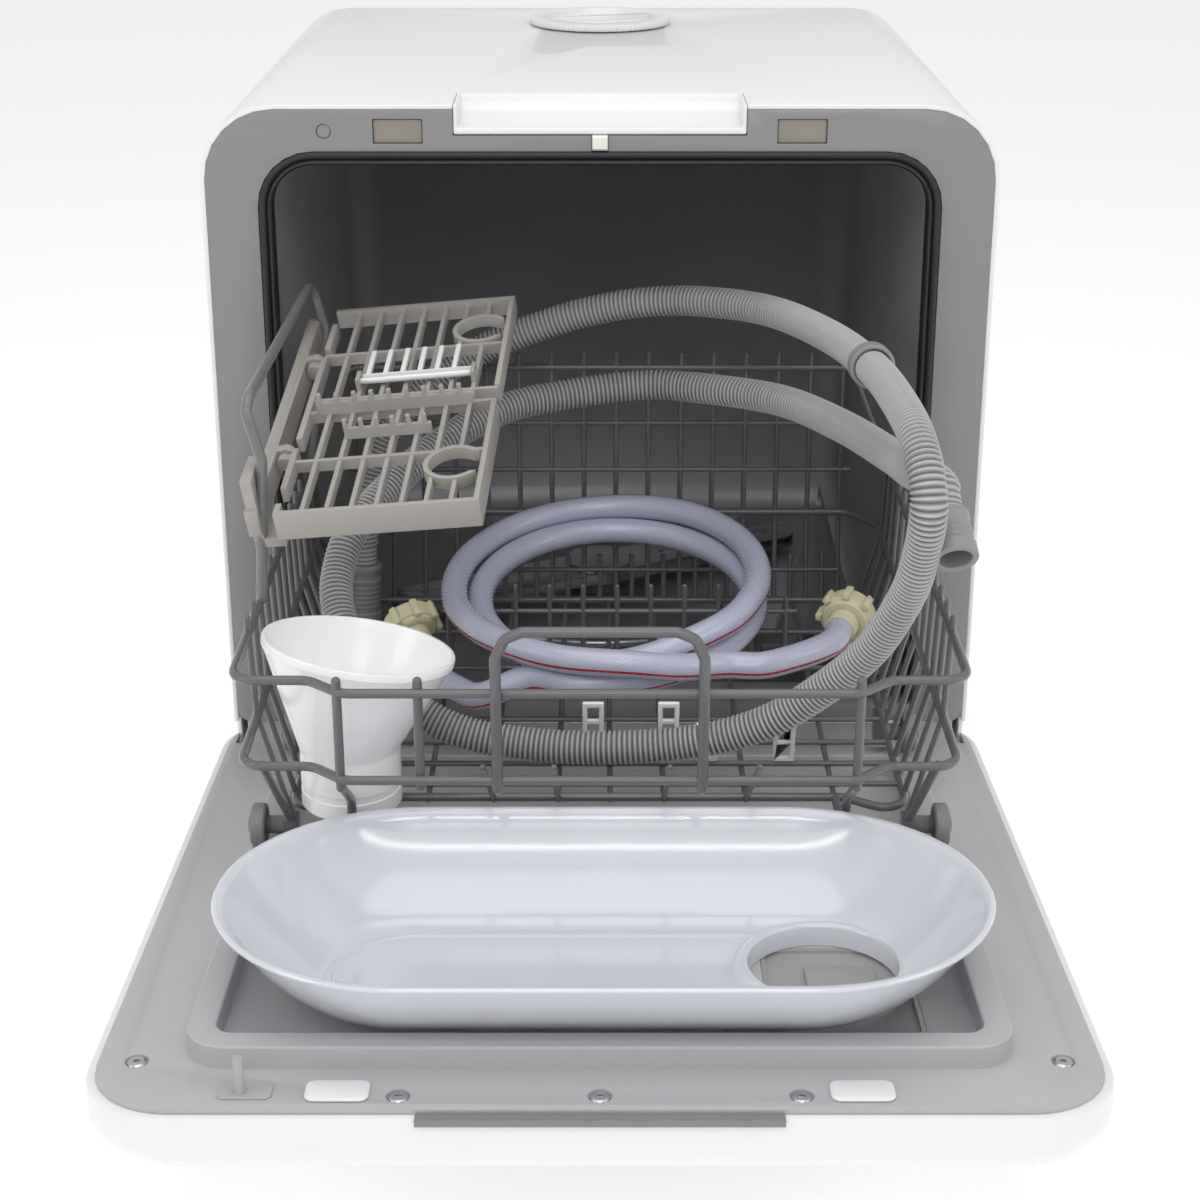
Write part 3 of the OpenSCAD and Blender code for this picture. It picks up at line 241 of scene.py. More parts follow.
class Shape:
    """Vertices and faces gathered piece by piece, in millimetres."""

    def __init__(self):
        self.verts = []
        self.faces = []

    def add(self, verts, faces, matrix=None):
        base = len(self.verts)
        placed = [matrix @ Vector(v) for v in verts] if matrix else [Vector(v) for v in verts]
        self.verts.extend(placed)
        self.faces.extend(tuple(base + i for i in f) for f in faces)
        return self

    def loft(self, rings, closed=True, loop=False, start=True, end=True, matrix=None):
        """Skins rings of equal length. closed joins each ring's ends, and loop the last ring to the first."""
        count = len(rings[0])
        verts = [v for ring in rings for v in ring]
        faces = []
        for i in range(len(rings) if loop else len(rings) - 1):
            j = (i + 1) % len(rings)
            for k in range(count if closed else count - 1):
                m = (k + 1) % count
                faces.append((i * count + k, i * count + m, j * count + m, j * count + k))
        if closed and not loop:
            if start:
                faces.append(tuple(range(count - 1, -1, -1)))
            if end:
                faces.append(tuple((len(rings) - 1) * count + k for k in range(count)))
        return self.add(verts, faces, matrix)

    def box(self, x0, y0, z0, x1, y1, z1, bevel=0.6, matrix=None):
        """Box with rounded edges."""
        bm = bmesh.new()
        size = (x1 - x0, y1 - y0, z1 - z0)
        middle = ((x0 + x1) / 2, (y0 + y1) / 2, (z0 + z1) / 2)
        place = Matrix.Translation(middle) @ Matrix.Diagonal((*size, 1))
        bmesh.ops.create_cube(bm, size=1, matrix=place)
        round_by = min(bevel, 0.45 * min(size))
        bmesh.ops.bevel(bm, geom=bm.edges[:], offset=round_by, segments=2, profile=0.5, affect="EDGES")
        bm.verts.index_update()
        self.add([v.co.copy() for v in bm.verts], [[v.index for v in f.verts] for f in bm.faces], matrix)
        bm.free()
        return self

    def lathe(self, profile, matrix=None, steps=40, loop=False):
        """Turns a profile of (radius, height) about the Z axis. A radius of 0 closes the shape there."""
        verts, faces, rows = [], [], []
        for r, z in profile:
            if r < 1e-6:
                rows.append([len(verts)] * steps)
                verts.append((0, 0, z))
                continue
            rows.append([len(verts) + k for k in range(steps)])
            verts.extend((r * math.cos(a), r * math.sin(a), z) for a in full_turn(steps))
        for i in range(len(rows) if loop else len(rows) - 1):
            low, high = rows[i], rows[(i + 1) % len(rows)]
            for k in range(steps):
                m = (k + 1) % steps
                corners = [low[k], low[m], high[m], high[k]]
                face = [v for n, v in enumerate(corners) if v not in corners[:n]]
                if len(face) > 2:
                    faces.append(face)
        return self.add(verts, faces, matrix)


def linked(name, mesh):
    """An object of the mesh, in the scene."""
    obj = bpy.data.objects.new(name, mesh)
    bpy.context.scene.collection.objects.link(obj)
    return obj


def mesh_from(shape, name):
    """Mesh of the shape, with its doubles merged and its faces turned outwards."""
    mesh = bpy.data.meshes.new(name)
    mesh.from_pydata([v * MM for v in shape.verts], [], shape.faces)
    bm = bmesh.new()
    bm.from_mesh(mesh)
    bmesh.ops.remove_doubles(bm, verts=bm.verts[:], dist=1e-6)
    bmesh.ops.recalc_face_normals(bm, faces=bm.faces[:])
    bm.to_mesh(mesh)
    bm.free()
    return mesh


def smooth(mesh, degrees=32):
    mesh.polygons.foreach_set("use_smooth", [True] * len(mesh.polygons))
    mesh.set_sharp_from_angle(angle=math.radians(degrees))
    mesh.update()


def piece(shape, name, material, degrees=32):
    """An object of the shape, with its material."""
    mesh = mesh_from(shape, name)
    smooth(mesh, degrees)
    mesh.materials.append(material)
    return linked(name, mesh)


def settle(obj, body, slot, *nodes):
    """Hands a finished piece to its body and hides the nodes that it stands for. Its slot, the finish, is not
    used.
    """
    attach(obj, body)
    if nodes:
        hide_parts(*nodes)
    return obj


def baked(obj):
    """Turns the object's modifiers into plain mesh."""
    graph = bpy.context.evaluated_depsgraph_get()
    graph.update()
    mesh = bpy.data.meshes.new_from_object(obj.evaluated_get(graph))
    mesh.name = obj.name
    obj.modifiers.clear()
    old = obj.data
    obj.data = mesh
    bpy.data.meshes.remove(old)
    return obj


def cut(obj, shape, degrees=32):
    """Takes the closed shape out of the object."""
    tool = linked("cutter", mesh_from(shape, "cutter"))
    step = obj.modifiers.new("cut", "BOOLEAN")
    step.operation, step.solver, step.object = "DIFFERENCE", "EXACT", tool
    baked(obj)
    bpy.data.objects.remove(tool)
    smooth(obj.data, degrees)
    return obj


def join(first, *others):
    """Adds the other objects' meshes to the first."""
    bm = bmesh.new()
    for o in (first, *others):
        bm.from_mesh(o.data)
    bm.to_mesh(first.data)
    bm.free()
    for o in others:
        bpy.data.objects.remove(o)
    return first


# ---------- geometry node trees ----------


def new_tree(name, inputs):
    tree = bpy.data.node_groups.new(name, "GeometryNodeTree")
    tree.interface.new_socket("Geometry", in_out="INPUT", socket_type="NodeSocketGeometry")
    for label, kind, value in inputs:
        socket = tree.interface.new_socket(label, in_out="INPUT", socket_type=kind)
        if value is not None:
            socket.default_value = value
    tree.interface.new_socket("Geometry", in_out="OUTPUT", socket_type="NodeSocketGeometry")
    return tree, tree.nodes.new("NodeGroupInput"), tree.nodes.new("NodeGroupOutput")


def end_tree(tree, given, result, geometry):
    """Makes the instances real and sets their material."""
    real = tree.nodes.new("GeometryNodeRealizeInstances")
    paint = tree.nodes.new("GeometryNodeSetMaterial")
    tree.links.new(geometry, real.inputs["Geometry"])
    tree.links.new(real.outputs["Geometry"], paint.inputs["Geometry"])
    tree.links.new(given.outputs["Material"], paint.inputs["Material"])
    tree.links.new(paint.outputs["Geometry"], result.inputs["Geometry"])
    return tree


def wire_tree():
    """Bent wires: a tube along every chain of edges, with filleted bends and round tips."""
    tree, given, result = new_tree("Bent wire", [
        ("Diameter", "NodeSocketFloat", 0.003), ("Bend", "NodeSocketFloat", 0.006),
        ("Sides", "NodeSocketInt", 12), ("Material", "NodeSocketMaterial", None)])
    node, link = tree.nodes.new, tree.links.new
    curve = node("GeometryNodeMeshToCurve")
    fillet = node("GeometryNodeFilletCurve")
    if hasattr(fillet, "mode"):
        fillet.mode = "POLY"
    fillet.inputs["Count"].default_value = 5
    fillet.inputs["Limit Radius"].default_value = True
    half = node("ShaderNodeMath")
    half.operation = "MULTIPLY"
    half.inputs[1].default_value = 0.5
    ring = node("GeometryNodeCurvePrimitiveCircle")
    skin = node("GeometryNodeCurveToMesh")
    skin.inputs["Fill Caps"].default_value = True
    ends = node("GeometryNodeCurveEndpointSelection")
    ball = node("GeometryNodeMeshUVSphere")
    ball.inputs["Rings"].default_value = 6
    tips = node("GeometryNodeInstanceOnPoints")
    both = node("GeometryNodeJoinGeometry")
    link(given.outputs["Geometry"], curve.inputs["Mesh"])
    link(curve.outputs["Curve"], fillet.inputs["Curve"])
    link(given.outputs["Bend"], fillet.inputs["Radius"])
    link(given.outputs["Diameter"], half.inputs[0])
    link(given.outputs["Sides"], ring.inputs["Resolution"])
    link(half.outputs[0], ring.inputs["Radius"])
    link(fillet.outputs["Curve"], skin.inputs["Curve"])
    link(ring.outputs["Curve"], skin.inputs["Profile Curve"])
    link(given.outputs["Sides"], ball.inputs["Segments"])
    link(half.outputs[0], ball.inputs["Radius"])
    link(fillet.outputs["Curve"], tips.inputs["Points"])
    link(ends.outputs["Selection"], tips.inputs["Selection"])
    link(ball.outputs["Mesh"], tips.inputs["Instance"])
    link(skin.outputs["Mesh"], both.inputs["Geometry"])
    link(tips.outputs["Instances"], both.inputs["Geometry"])
    return end_tree(tree, given, result, both.outputs["Geometry"])


def spots_tree():
    """The given item, set at every vertex of another object."""
    tree, given, result = new_tree("Set at spots", [
        ("Spots", "NodeSocketObject", None), ("Material", "NodeSocketMaterial", None)])
    node, link = tree.nodes.new, tree.links.new
    spots = node("GeometryNodeObjectInfo")
    copies = node("GeometryNodeInstanceOnPoints")
    link(given.outputs["Spots"], spots.inputs["Object"])
    link(spots.outputs["Geometry"], copies.inputs["Points"])
    link(given.outputs["Geometry"], copies.inputs["Instance"])
    return end_tree(tree, given, result, copies.outputs["Instances"])


def tree_named(name, make):
    return bpy.data.node_groups.get(name) or make()


def grow(obj, tree, material, **values):
    """Runs a node tree on the object and keeps its plain mesh."""
    step = obj.modifiers.new("grow", "NODES")
    step.node_group = tree
    values["Material"] = material
    for socket in tree.interface.items_tree:
        if socket.in_out == "INPUT" and socket.name in values:
            step[socket.identifier] = values[socket.name]
    baked(obj)
    if not obj.data.materials:
        obj.data.materials.append(material)
    return obj


def wires(name, chains, diameter, material, bend=None, sides=12):
    """Wires through chains of points in millimetres. diameter and bend are in metres."""
    verts, edges = [], []
    for chain in chains:
        closed = chain[0] == chain[-1]
        points = chain[:-1] if closed else chain
        base = len(verts)
        verts.extend(Vector(p) * MM for p in points)
        edges.extend((base + i, base + i + 1) for i in range(len(points) - 1))
        if closed:
            edges.append((base + len(points) - 1, base))
    mesh = bpy.data.meshes.new(name)
    mesh.from_pydata(verts, edges, [])
    obj = linked(name, mesh)
    grow(obj, tree_named("Bent wire", wire_tree), material, Diameter=diameter,
         Bend=sizes().bend if bend is None else bend, Sides=sides)
    smooth(obj.data, 50)
    return obj


def at_spots(name, item, spots, material):
    """Copies of the shape at spots given in millimetres."""
    mesh = bpy.data.meshes.new("spots")
    mesh.from_pydata([Vector(p) * MM for p in spots], [], [])
    marks = linked("spots", mesh)
    obj = piece(item, name, material)
    grow(obj, tree_named("Set at spots", spots_tree), material, Spots=marks)
    bpy.data.objects.remove(marks)
    smooth(obj.data)
    return obj


def placed(obj, matrix):
    """Moves the mesh, not the object, by a matrix in millimetres."""
    scale = Matrix.Scale(MM, 4)
    obj.data.transform(scale @ matrix @ scale.inverted())
    return obj


# ---------- finishes ----------


def new_group(name, inputs, outputs):
    tree = bpy.data.node_groups.new(name, "ShaderNodeTree")
    for label, kind, value in inputs:
        socket = tree.interface.new_socket(label, in_out="INPUT", socket_type=kind)
        if value is not None:
            socket.default_value = value
    for label, kind in outputs:
        tree.interface.new_socket(label, in_out="OUTPUT", socket_type=kind)
    return tree, tree.nodes.new("NodeGroupInput"), tree.nodes.new("NodeGroupOutput")


def noise(tree, vector, scale, detail=3.0):
    node = tree.nodes.new("ShaderNodeTexNoise")
    node.inputs["Detail"].default_value = detail
    tree.links.new(vector, node.inputs["Vector"])
    if isinstance(scale, (int, float)):
        node.inputs["Scale"].default_value = scale
    else:
        tree.links.new(scale, node.inputs["Scale"])
    return node.outputs["Fac"]


def math_node(tree, operation, a, b=None, c=None, clamp=False):
    node = tree.nodes.new("ShaderNodeMath")
    node.operation = operation
    node.use_clamp = clamp
    for socket, value in zip(node.inputs, (a, b, c)):
        if value is None:
            continue
        if isinstance(value, (int, float)):
            socket.default_value = value
        else:
            tree.links.new(value, socket)
    return node.outputs[0]


def mix_colour(tree, factor, a, b, kind="MIX"):
    node = tree.nodes.new("ShaderNodeMix")
    node.data_type = "RGBA"
    node.blend_type = kind
    for key, value in (("Factor_Float", factor), ("A_Color", a), ("B_Color", b)):
        socket = next(s for s in node.inputs if s.identifier == key)
        if isinstance(value, (int, float)):
            socket.default_value = value
        elif isinstance(value, (tuple, list)):
            socket.default_value = (*value[:3], 1)
        else:
            tree.links.new(value, socket)
    return next(s for s in node.outputs if s.identifier == "Result_Color")


def tinted(tree, given, shade):
    """The group's colour, made lighter or darker."""
    tint = tree.nodes.new("ShaderNodeVectorMath")
    tint.operation = "SCALE"
    tree.links.new(given.outputs["Colour"], tint.inputs[0])
    tree.links.new(shade, tint.inputs["Scale"])
    return tint.outputs[0]


def swing_about_zero(tree, value):
    """Turns 0 to 1 into -1 to 1."""
    return math_node(tree, "MULTIPLY", math_node(tree, "SUBTRACT", value, 0.5), 2.0)


def skin_group():
    """Moulded or coated skin: fine grain, and a slow drift of tone and of gloss."""
    tree, given, result = new_group("Moulded skin", [
        ("Vector", "NodeSocketVector", None), ("Colour", "NodeSocketColor", (0.8, 0.8, 0.8, 1)),
        ("Tone", "NodeSocketFloat", 0.04), ("Roughness", "NodeSocketFloat", 0.4),
        ("Gloss drift", "NodeSocketFloat", 0.06), ("Grain scale", "NodeSocketFloat", 1500.0)],
        [("Colour", "NodeSocketColor"), ("Roughness", "NodeSocketFloat"), ("Height", "NodeSocketFloat")])
    vector = given.outputs["Vector"]
    slow = noise(tree, vector, 9.0)
    middle = noise(tree, vector, 70.0)
    grain = noise(tree, vector, given.outputs["Grain scale"], 2.0)
    drift = math_node(tree, "ADD", math_node(tree, "MULTIPLY", slow, 0.65),
                      math_node(tree, "MULTIPLY", middle, 0.35))
    swing = swing_about_zero(tree, drift)
    shade = math_node(tree, "MULTIPLY_ADD", swing, given.outputs["Tone"], 1.0)
    tint = tinted(tree, given, shade)
    rough = math_node(tree, "MULTIPLY_ADD", swing, given.outputs["Gloss drift"],
                      given.outputs["Roughness"], clamp=True)
    tree.links.new(tint, result.inputs["Colour"])
    tree.links.new(rough, result.inputs["Roughness"])
    tree.links.new(grain, result.inputs["Height"])
    return tree


def rolled_group():
    """Rolled or brushed sheet metal: fine lines across one axis and cloudy gloss."""
    tree, given, result = new_group("Rolled metal", [
        ("Vector", "NodeSocketVector", None), ("Colour", "NodeSocketColor", (0.5, 0.5, 0.5, 1)),
        ("Tone", "NodeSocketFloat", 0.08), ("Roughness", "NodeSocketFloat", 0.3),
        ("Lines", "NodeSocketFloat", 0.06)],
        [("Colour", "NodeSocketColor"), ("Roughness", "NodeSocketFloat"), ("Height", "NodeSocketFloat")])
    stretch = tree.nodes.new("ShaderNodeVectorMath")
    stretch.operation = "MULTIPLY"
    stretch.inputs[1].default_value = (14.0, 14.0, 900.0)
    tree.links.new(given.outputs["Vector"], stretch.inputs[0])
    lines = noise(tree, stretch.outputs[0], 1.0, 2.0)
    cloud = noise(tree, given.outputs["Vector"], 16.0)
    swing = swing_about_zero(tree, cloud)
    shade = math_node(tree, "MULTIPLY_ADD", swing, given.outputs["Tone"], 1.0)
    tint = tinted(tree, given, shade)
    streak = math_node(tree, "MULTIPLY", math_node(tree, "SUBTRACT", lines, 0.5), given.outputs["Lines"])
    cloudy = math_node(tree, "MULTIPLY_ADD", swing, 0.05, given.outputs["Roughness"])
    rough = math_node(tree, "ADD", cloudy, streak, clamp=True)
    tree.links.new(tint, result.inputs["Colour"])
    tree.links.new(rough, result.inputs["Roughness"])
    tree.links.new(lines, result.inputs["Height"])
    return tree


def sleeve_group():
    """Braided sleeve: crossing strands on the hose's own map, darker between the strands with painted shade,
    and one line along it.
    """
    tree, given, result = new_group("Braided sleeve", [
        ("Map", "NodeSocketVector", None), ("Colour", "NodeSocketColor", (0.5, 0.5, 0.6, 1)),
        ("Stripe", "NodeSocketColor", (0.4, 0.0, 0.0, 1)), ("Stripe width", "NodeSocketFloat", 0.05),
        ("Stripe place", "NodeSocketFloat", 0.0),
        ("Strands", "NodeSocketFloat", 10.0), ("Pitch", "NodeSocketFloat", 90.0)],
        [("Colour", "NodeSocketColor"), ("Roughness", "NodeSocketFloat"), ("Height", "NodeSocketFloat")])
    split = tree.nodes.new("ShaderNodeSeparateXYZ")
    tree.links.new(given.outputs["Map"], split.inputs[0])
    across = math_node(tree, "MULTIPLY", split.outputs["X"], given.outputs["Strands"])
    run = math_node(tree, "MULTIPLY", split.outputs["Y"], given.outputs["Pitch"])
    strands = []
    for way in ("ADD", "SUBTRACT"):
        phase = math_node(tree, "MULTIPLY", math_node(tree, way, across, run), math.tau)
        strands.append(math_node(tree, "ABSOLUTE", math_node(tree, "SINE", phase)))
    weave = math_node(tree, "MAXIMUM", *strands)
    # painted shade: the colour is darker between the strands, where the weave is low
    depth = math_node(tree, "MULTIPLY_ADD", weave, 0.16, 0.88)
    tint = tinted(tree, given, depth)
    moved = math_node(tree, "ADD", split.outputs["X"], given.outputs["Stripe place"])
    place = math_node(tree, "ABSOLUTE", math_node(tree, "SUBTRACT", math_node(tree, "FRACT", moved), 0.5))
    half_stripe = math_node(tree, "MULTIPLY", given.outputs["Stripe width"], 0.5)
    mark = math_node(tree, "LESS_THAN", place, half_stripe)
    painted = mix_colour(tree, mark, tint, given.outputs["Stripe"])
    rough = math_node(tree, "MULTIPLY_ADD", weave, -0.12, 0.36)
    tree.links.new(painted, result.inputs["Colour"])
    tree.links.new(rough, result.inputs["Roughness"])
    tree.links.new(weave, result.inputs["Height"])
    return tree


def ribbed_group():
    """Rings of a bellows hose: grooves on the hose's own map, darker with painted shade, and duller."""
    tree, given, result = new_group("Ribbed hose", [
        ("Map", "NodeSocketVector", None), ("Colour", "NodeSocketColor", (0.3, 0.3, 0.3, 1)),
        ("Ring pitch", "NodeSocketFloat", 0.0026), ("Shade", "NodeSocketFloat", 0.6)],
        [("Colour", "NodeSocketColor"), ("Roughness", "NodeSocketFloat"), ("Height", "NodeSocketFloat")])
    split = tree.nodes.new("ShaderNodeSeparateXYZ")
    tree.links.new(given.outputs["Map"], split.inputs[0])
    run = math_node(tree, "DIVIDE", split.outputs["Y"], given.outputs["Ring pitch"])
    wave = math_node(tree, "COSINE", math_node(tree, "MULTIPLY", run, math.tau))
    crest = math_node(tree, "MULTIPLY_ADD", wave, 0.5, 0.5)
    dirt = noise(tree, given.outputs["Map"], 30.0)
    # painted shade: the grooves are darkened by Shade, in place of the shade that falls in them
    dark = math_node(tree, "MULTIPLY", math_node(tree, "SUBTRACT", 1.0, crest), given.outputs["Shade"])
    worn = math_node(tree, "MULTIPLY_ADD", dirt, 0.16, 0.92)
    shade = math_node(tree, "MULTIPLY", math_node(tree, "SUBTRACT", 1.0, dark), worn)
    tint = tinted(tree, given, shade)
    tree.links.new(tint, result.inputs["Colour"])
    tree.links.new(math_node(tree, "MULTIPLY_ADD", crest, -0.18, 0.52), result.inputs["Roughness"])
    tree.links.new(crest, result.inputs["Height"])
    return tree


def shader_group(name, make):
    return bpy.data.node_groups.get(name) or make()


def finish(name, group, group_socket, coordinate, rgb, relief, values, settings):
    """A material round one shader group. relief is the bump's strength and its distance in metres."""
    material = bpy.data.materials.new(f"{name}_finish")
    material.use_nodes = True
    tree = material.node_tree
    shader = tree.nodes["Principled BSDF"]
    skin = tree.nodes.new("ShaderNodeGroup")
    skin.node_tree = shader_group(*group)
    where = tree.nodes.new("ShaderNodeTexCoord")
    tree.links.new(where.outputs[coordinate], skin.inputs[group_socket])
    skin.inputs["Colour"].default_value = (*rgb, 1)
    for key, value in values.items():
        skin.inputs[key].default_value = value
    tree.links.new(skin.outputs["Colour"], shader.inputs["Base Color"])
    tree.links.new(skin.outputs["Roughness"], shader.inputs["Roughness"])
    bump = tree.nodes.new("ShaderNodeBump")
    bump.inputs["Strength"].default_value, bump.inputs["Distance"].default_value = relief
    tree.links.new(skin.outputs["Height"], bump.inputs["Height"])
    tree.links.new(bump.outputs["Normal"], shader.inputs["Normal"])
    for key, value in settings.items():
        shader.inputs[key.replace("_", " ")].default_value = value
    return material


def plastic(name, rgb, rough=0.4, tone=0.03, drift=0.05, grain=1500.0, bump=0.12, **settings):
    """Moulded plastic, rubber or a powder coat."""
    values = {"Tone": tone, "Roughness": rough, "Gloss drift": drift, "Grain scale": grain}
    material = finish(name, ("Moulded skin", skin_group), "Vector", "Object", rgb, (bump, 0.0002), values,
                      settings)
    material.diffuse_color = (*rgb, 1)
    return material


def metal(name, rgb, rough=0.3, tone=0.06, lines=0.08, bump=0.08, metallic=1.0):
    """Sheet, bar or turned metal."""
    values = {"Tone": tone, "Roughness": rough, "Lines": lines}
    material = finish(name, ("Rolled metal", rolled_group), "Vector", "Object", rgb, (bump, 0.0001), values,
                      {"Metallic": metallic})
    material.diffuse_color = (*rgb, 1)
    return material


def sleeve(name, rgb):
    """Braided sleeve with one line along it."""
    values = {"Stripe": (*colours().stripe, 1), "Stripe width": 0.035, "Stripe place": 0.56,
              "Strands": 9, "Pitch": 110}
    return finish(name, ("Braided sleeve", sleeve_group), "Map", "UV", rgb, (0.35, 0.0003), values,
                  {"Coat_Weight": 0.5, "Coat_Roughness": 0.15})


def bellows(name, rgb):
    """Ribbed hose, with painted shade in its grooves."""
    # Shade sets how dark the painted shade in the grooves is
    values = {"Ring pitch": sizes().ring_pitch, "Shade": 0.62}
    return finish(name, ("Ribbed hose", ribbed_group), "Map", "UV", rgb, (0.25, 0.0003), values, {})


# Each finish: its maker, its colour or the name of the setting that holds it, and the maker's values in order
FINISHES = {
    "casing_white": (plastic, "white", 0.34, 0.02, 0.05, 1100, 0.10),
    "frame_grey": (plastic, "front", 0.36, 0.03, 0.05, 1300, 0.14),
    "tub_steel": (metal, "tub", 0.42, 0.08, 0.10, 0.10, 0.55),
    "seal_black": (plastic, (0.012, 0.012, 0.013), 0.42, 0.10, 0.08, 800, 0.15),
    "strike_beige": (plastic, (0.26, 0.235, 0.205), 0.38),
    "strike_dark": (plastic, (0.035, 0.035, 0.035), 0.45),
    "latch_white": (plastic, (0.80, 0.79, 0.74), 0.35),
    "spring_steel": (metal, (0.55, 0.55, 0.56), 0.25),
    "black_plastic": (plastic, (0.02, 0.02, 0.021), 0.45, 0.08),
    "white_plastic": (plastic, "white", 0.3, 0.02, 0.05, 1400, 0.08),
    "pan_grey": (plastic, (0.42, 0.43, 0.44), 0.5, 0.05, 0.06, 700, 0.2),
    "foot_rubber": (plastic, (0.03, 0.03, 0.03), 0.75, 0.10, 0.05, 500, 0.3),
    "zinc_steel": (metal, (0.52, 0.53, 0.55), 0.36, 0.14, 0.10, 0.10),
    "valve_white": (plastic, (0.72, 0.72, 0.70), 0.45),
    "port_grey": (plastic, (0.16, 0.165, 0.17), 0.48, 0.06),
    "arm_steel": (metal, (0.48, 0.49, 0.50), 0.22, 0.06),
    "pump_grey": (plastic, (0.11, 0.115, 0.12), 0.5, 0.08, 0.06, 600, 0.25),
    "heater_steel": (metal, (0.42, 0.42, 0.43), 0.3, 0.10),
    "tank_clear": (plastic, (0.74, 0.78, 0.80), 0.22, 0.03, 0.04, 400, 0.06),
    "door_grey": (plastic, "inner", 0.33, 0.03, 0.05, 1300, 0.12),
    "pin_grey": (plastic, (0.40, 0.40, 0.39), 0.4),
    "screw_steel": (metal, (0.60, 0.60, 0.61), 0.24, 0.10),
    "grip_grey": (plastic, (0.21, 0.205, 0.20), 0.42, 0.05, 0.08, 500, 0.25),
    "dispenser_grey": (plastic, (0.33, 0.33, 0.325), 0.38, 0.04, 0.05, 900, 0.15),
    "board_green": (plastic, (0.02, 0.12, 0.05), 0.4, 0.10),
    "button_grey": (plastic, (0.30, 0.30, 0.31), 0.4),
    "basin_milky": (plastic, "basin", 0.12, 0.02, 0.03, 120, 0.04),
    "wire_coat": (plastic, "wire", 0.30, 0.06, 0.06, 350, 0.12),
    "clip_white": (plastic, (0.88, 0.88, 0.88), 0.34),
    "wheel_grey": (plastic, (0.22, 0.22, 0.22), 0.38, 0.05),
    "bail_grey": (plastic, (0.16, 0.16, 0.16), 0.28, 0.05, 0.05, 400, 0.10),
    "shelf_grey": (plastic, "shelf", 0.40, 0.04, 0.06, 900, 0.14),
    "hose_grey": (bellows, "drain"),
    "cuff_grey": (plastic, (0.27, 0.27, 0.275), 0.42, 0.05, 0.06, 600, 0.18),
    "inlet_hose_pale": (sleeve, "inlet"),
    "nut_khaki": (plastic, "nut", 0.36, 0.05, 0.06, 700, 0.12),
    "funnel_white": (plastic, (0.93, 0.93, 0.93), 0.26, 0.02, 0.04, 800, 0.08),
}

# What a finish sets on its shader beside its skin
SHINE = {
    "casing_white": {"Coat_Weight": 0.25},
    "white_plastic": {"Coat_Weight": 0.3},
    "tank_clear": {"Transmission_Weight": 0.55},
    "door_grey": {"Coat_Weight": 0.15},
    "basin_milky": {"Transmission_Weight": 0.3, "Coat_Weight": 0.5, "Coat_Roughness": 0.08},
    "wire_coat": {"Coat_Weight": 0.3},
    "bail_grey": {"Coat_Weight": 0.3},
    "funnel_white": {"Coat_Weight": 0.3},
}

MADE = {}


def finish_named(name):
    """The finish of a slot, made once. The frame brings plain materials of the same names."""
    if name not in MADE:
        make, rgb, *values = FINISHES[name]
        rgb = getattr(colours(), rgb) if isinstance(rgb, str) else rgb
        MADE[name] = make(name, rgb, *values, **SHINE.get(name, {}))
    return MADE[name]


# ---------- pieces made from the CAD solids ----------


def dress(node, body, slot, edge=None, degrees=32, soften=None, finish=None):
    """A copy of a CAD node with its facets merged and its edges rounded, as moulding or pressing leaves them.
    edge is the radius in millimetres, and 0 keeps the mesh whole. soften is (test of an edge's two ends in
    millimetres, radius, segments) for edges that are rounder."""
    obj = linked(f"{node}_made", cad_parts[node].data.copy())
    bm = bmesh.new()
    bm.from_mesh(obj.data)
    bmesh.ops.remove_doubles(bm, verts=bm.verts[:], dist=2e-6)
    if edge != 0:
        bmesh.ops.dissolve_limit(bm, angle_limit=math.radians(0.6), verts=bm.verts[:], edges=bm.edges[:])
    if soften:
        test, radius, segments = soften
        chosen = [e for e in bm.edges if test(e.verts[0].co / MM, e.verts[1].co / MM)]
        bmesh.ops.bevel(bm, geom=chosen, offset=radius * MM, segments=segments, profile=0.5, affect="EDGES",
                        clamp_overlap=True)
    bm.to_mesh(obj.data)
    bm.free()
    round_by = sizes().edge if edge is None else edge * MM
    if round_by > 0:
        step = obj.modifiers.new("edge", "BEVEL")
        step.width = round_by
        step.segments = 2
        step.limit_method = "ANGLE"
        step.angle_limit = math.radians(38)
        step.use_clamp_overlap = True
        step.harden_normals = False
        baked(obj)
    smooth(obj.data, degrees)
    obj.data.materials.clear()
    obj.data.materials.append(finish_named(finish or slot))
    return settle(obj, body, slot, node)


def coat(node, slot):
    """Gives a CAD node that stays as it is its finish."""
    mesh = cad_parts[node].data
    mesh.materials.clear()
    mesh.materials.append(finish_named(slot))


# ---------- tubes that follow a route ----------


def sample_route(points, step):
    """Even points, in millimetres, on a smooth curve through the given points in metres."""
    p = [Vector(q) / MM for q in points]
    p = [p[0] * 2 - p[1]] + p + [p[-1] * 2 - p[-2]]
    fine = []
    for i in range(1, len(p) - 2):
        a, b, c, d = p[i - 1:i + 3]
        for k in range(16):
            t = k / 16
            fine.append(0.5 * (2 * b + (c - a) * t + (2 * a - 5 * b + 4 * c - d) * t * t
                               + (3 * b - a - 3 * c + d) * t ** 3))
    fine.append(p[-2])
    reach = [0.0]
    for a, b in zip(fine, fine[1:]):
        reach.append(reach[-1] + (b - a).length)
    count = max(2, round(reach[-1] / step))
    even, k = [], 0
    for i in range(count + 1):
        want = reach[-1] * i / count
        while k < len(fine) - 2 and reach[k + 1] < want:
            k += 1
        span = reach[k + 1] - reach[k]
        even.append(fine[k].lerp(fine[k + 1], (want - reach[k]) / span if span else 0))
    return even, reach[-1]


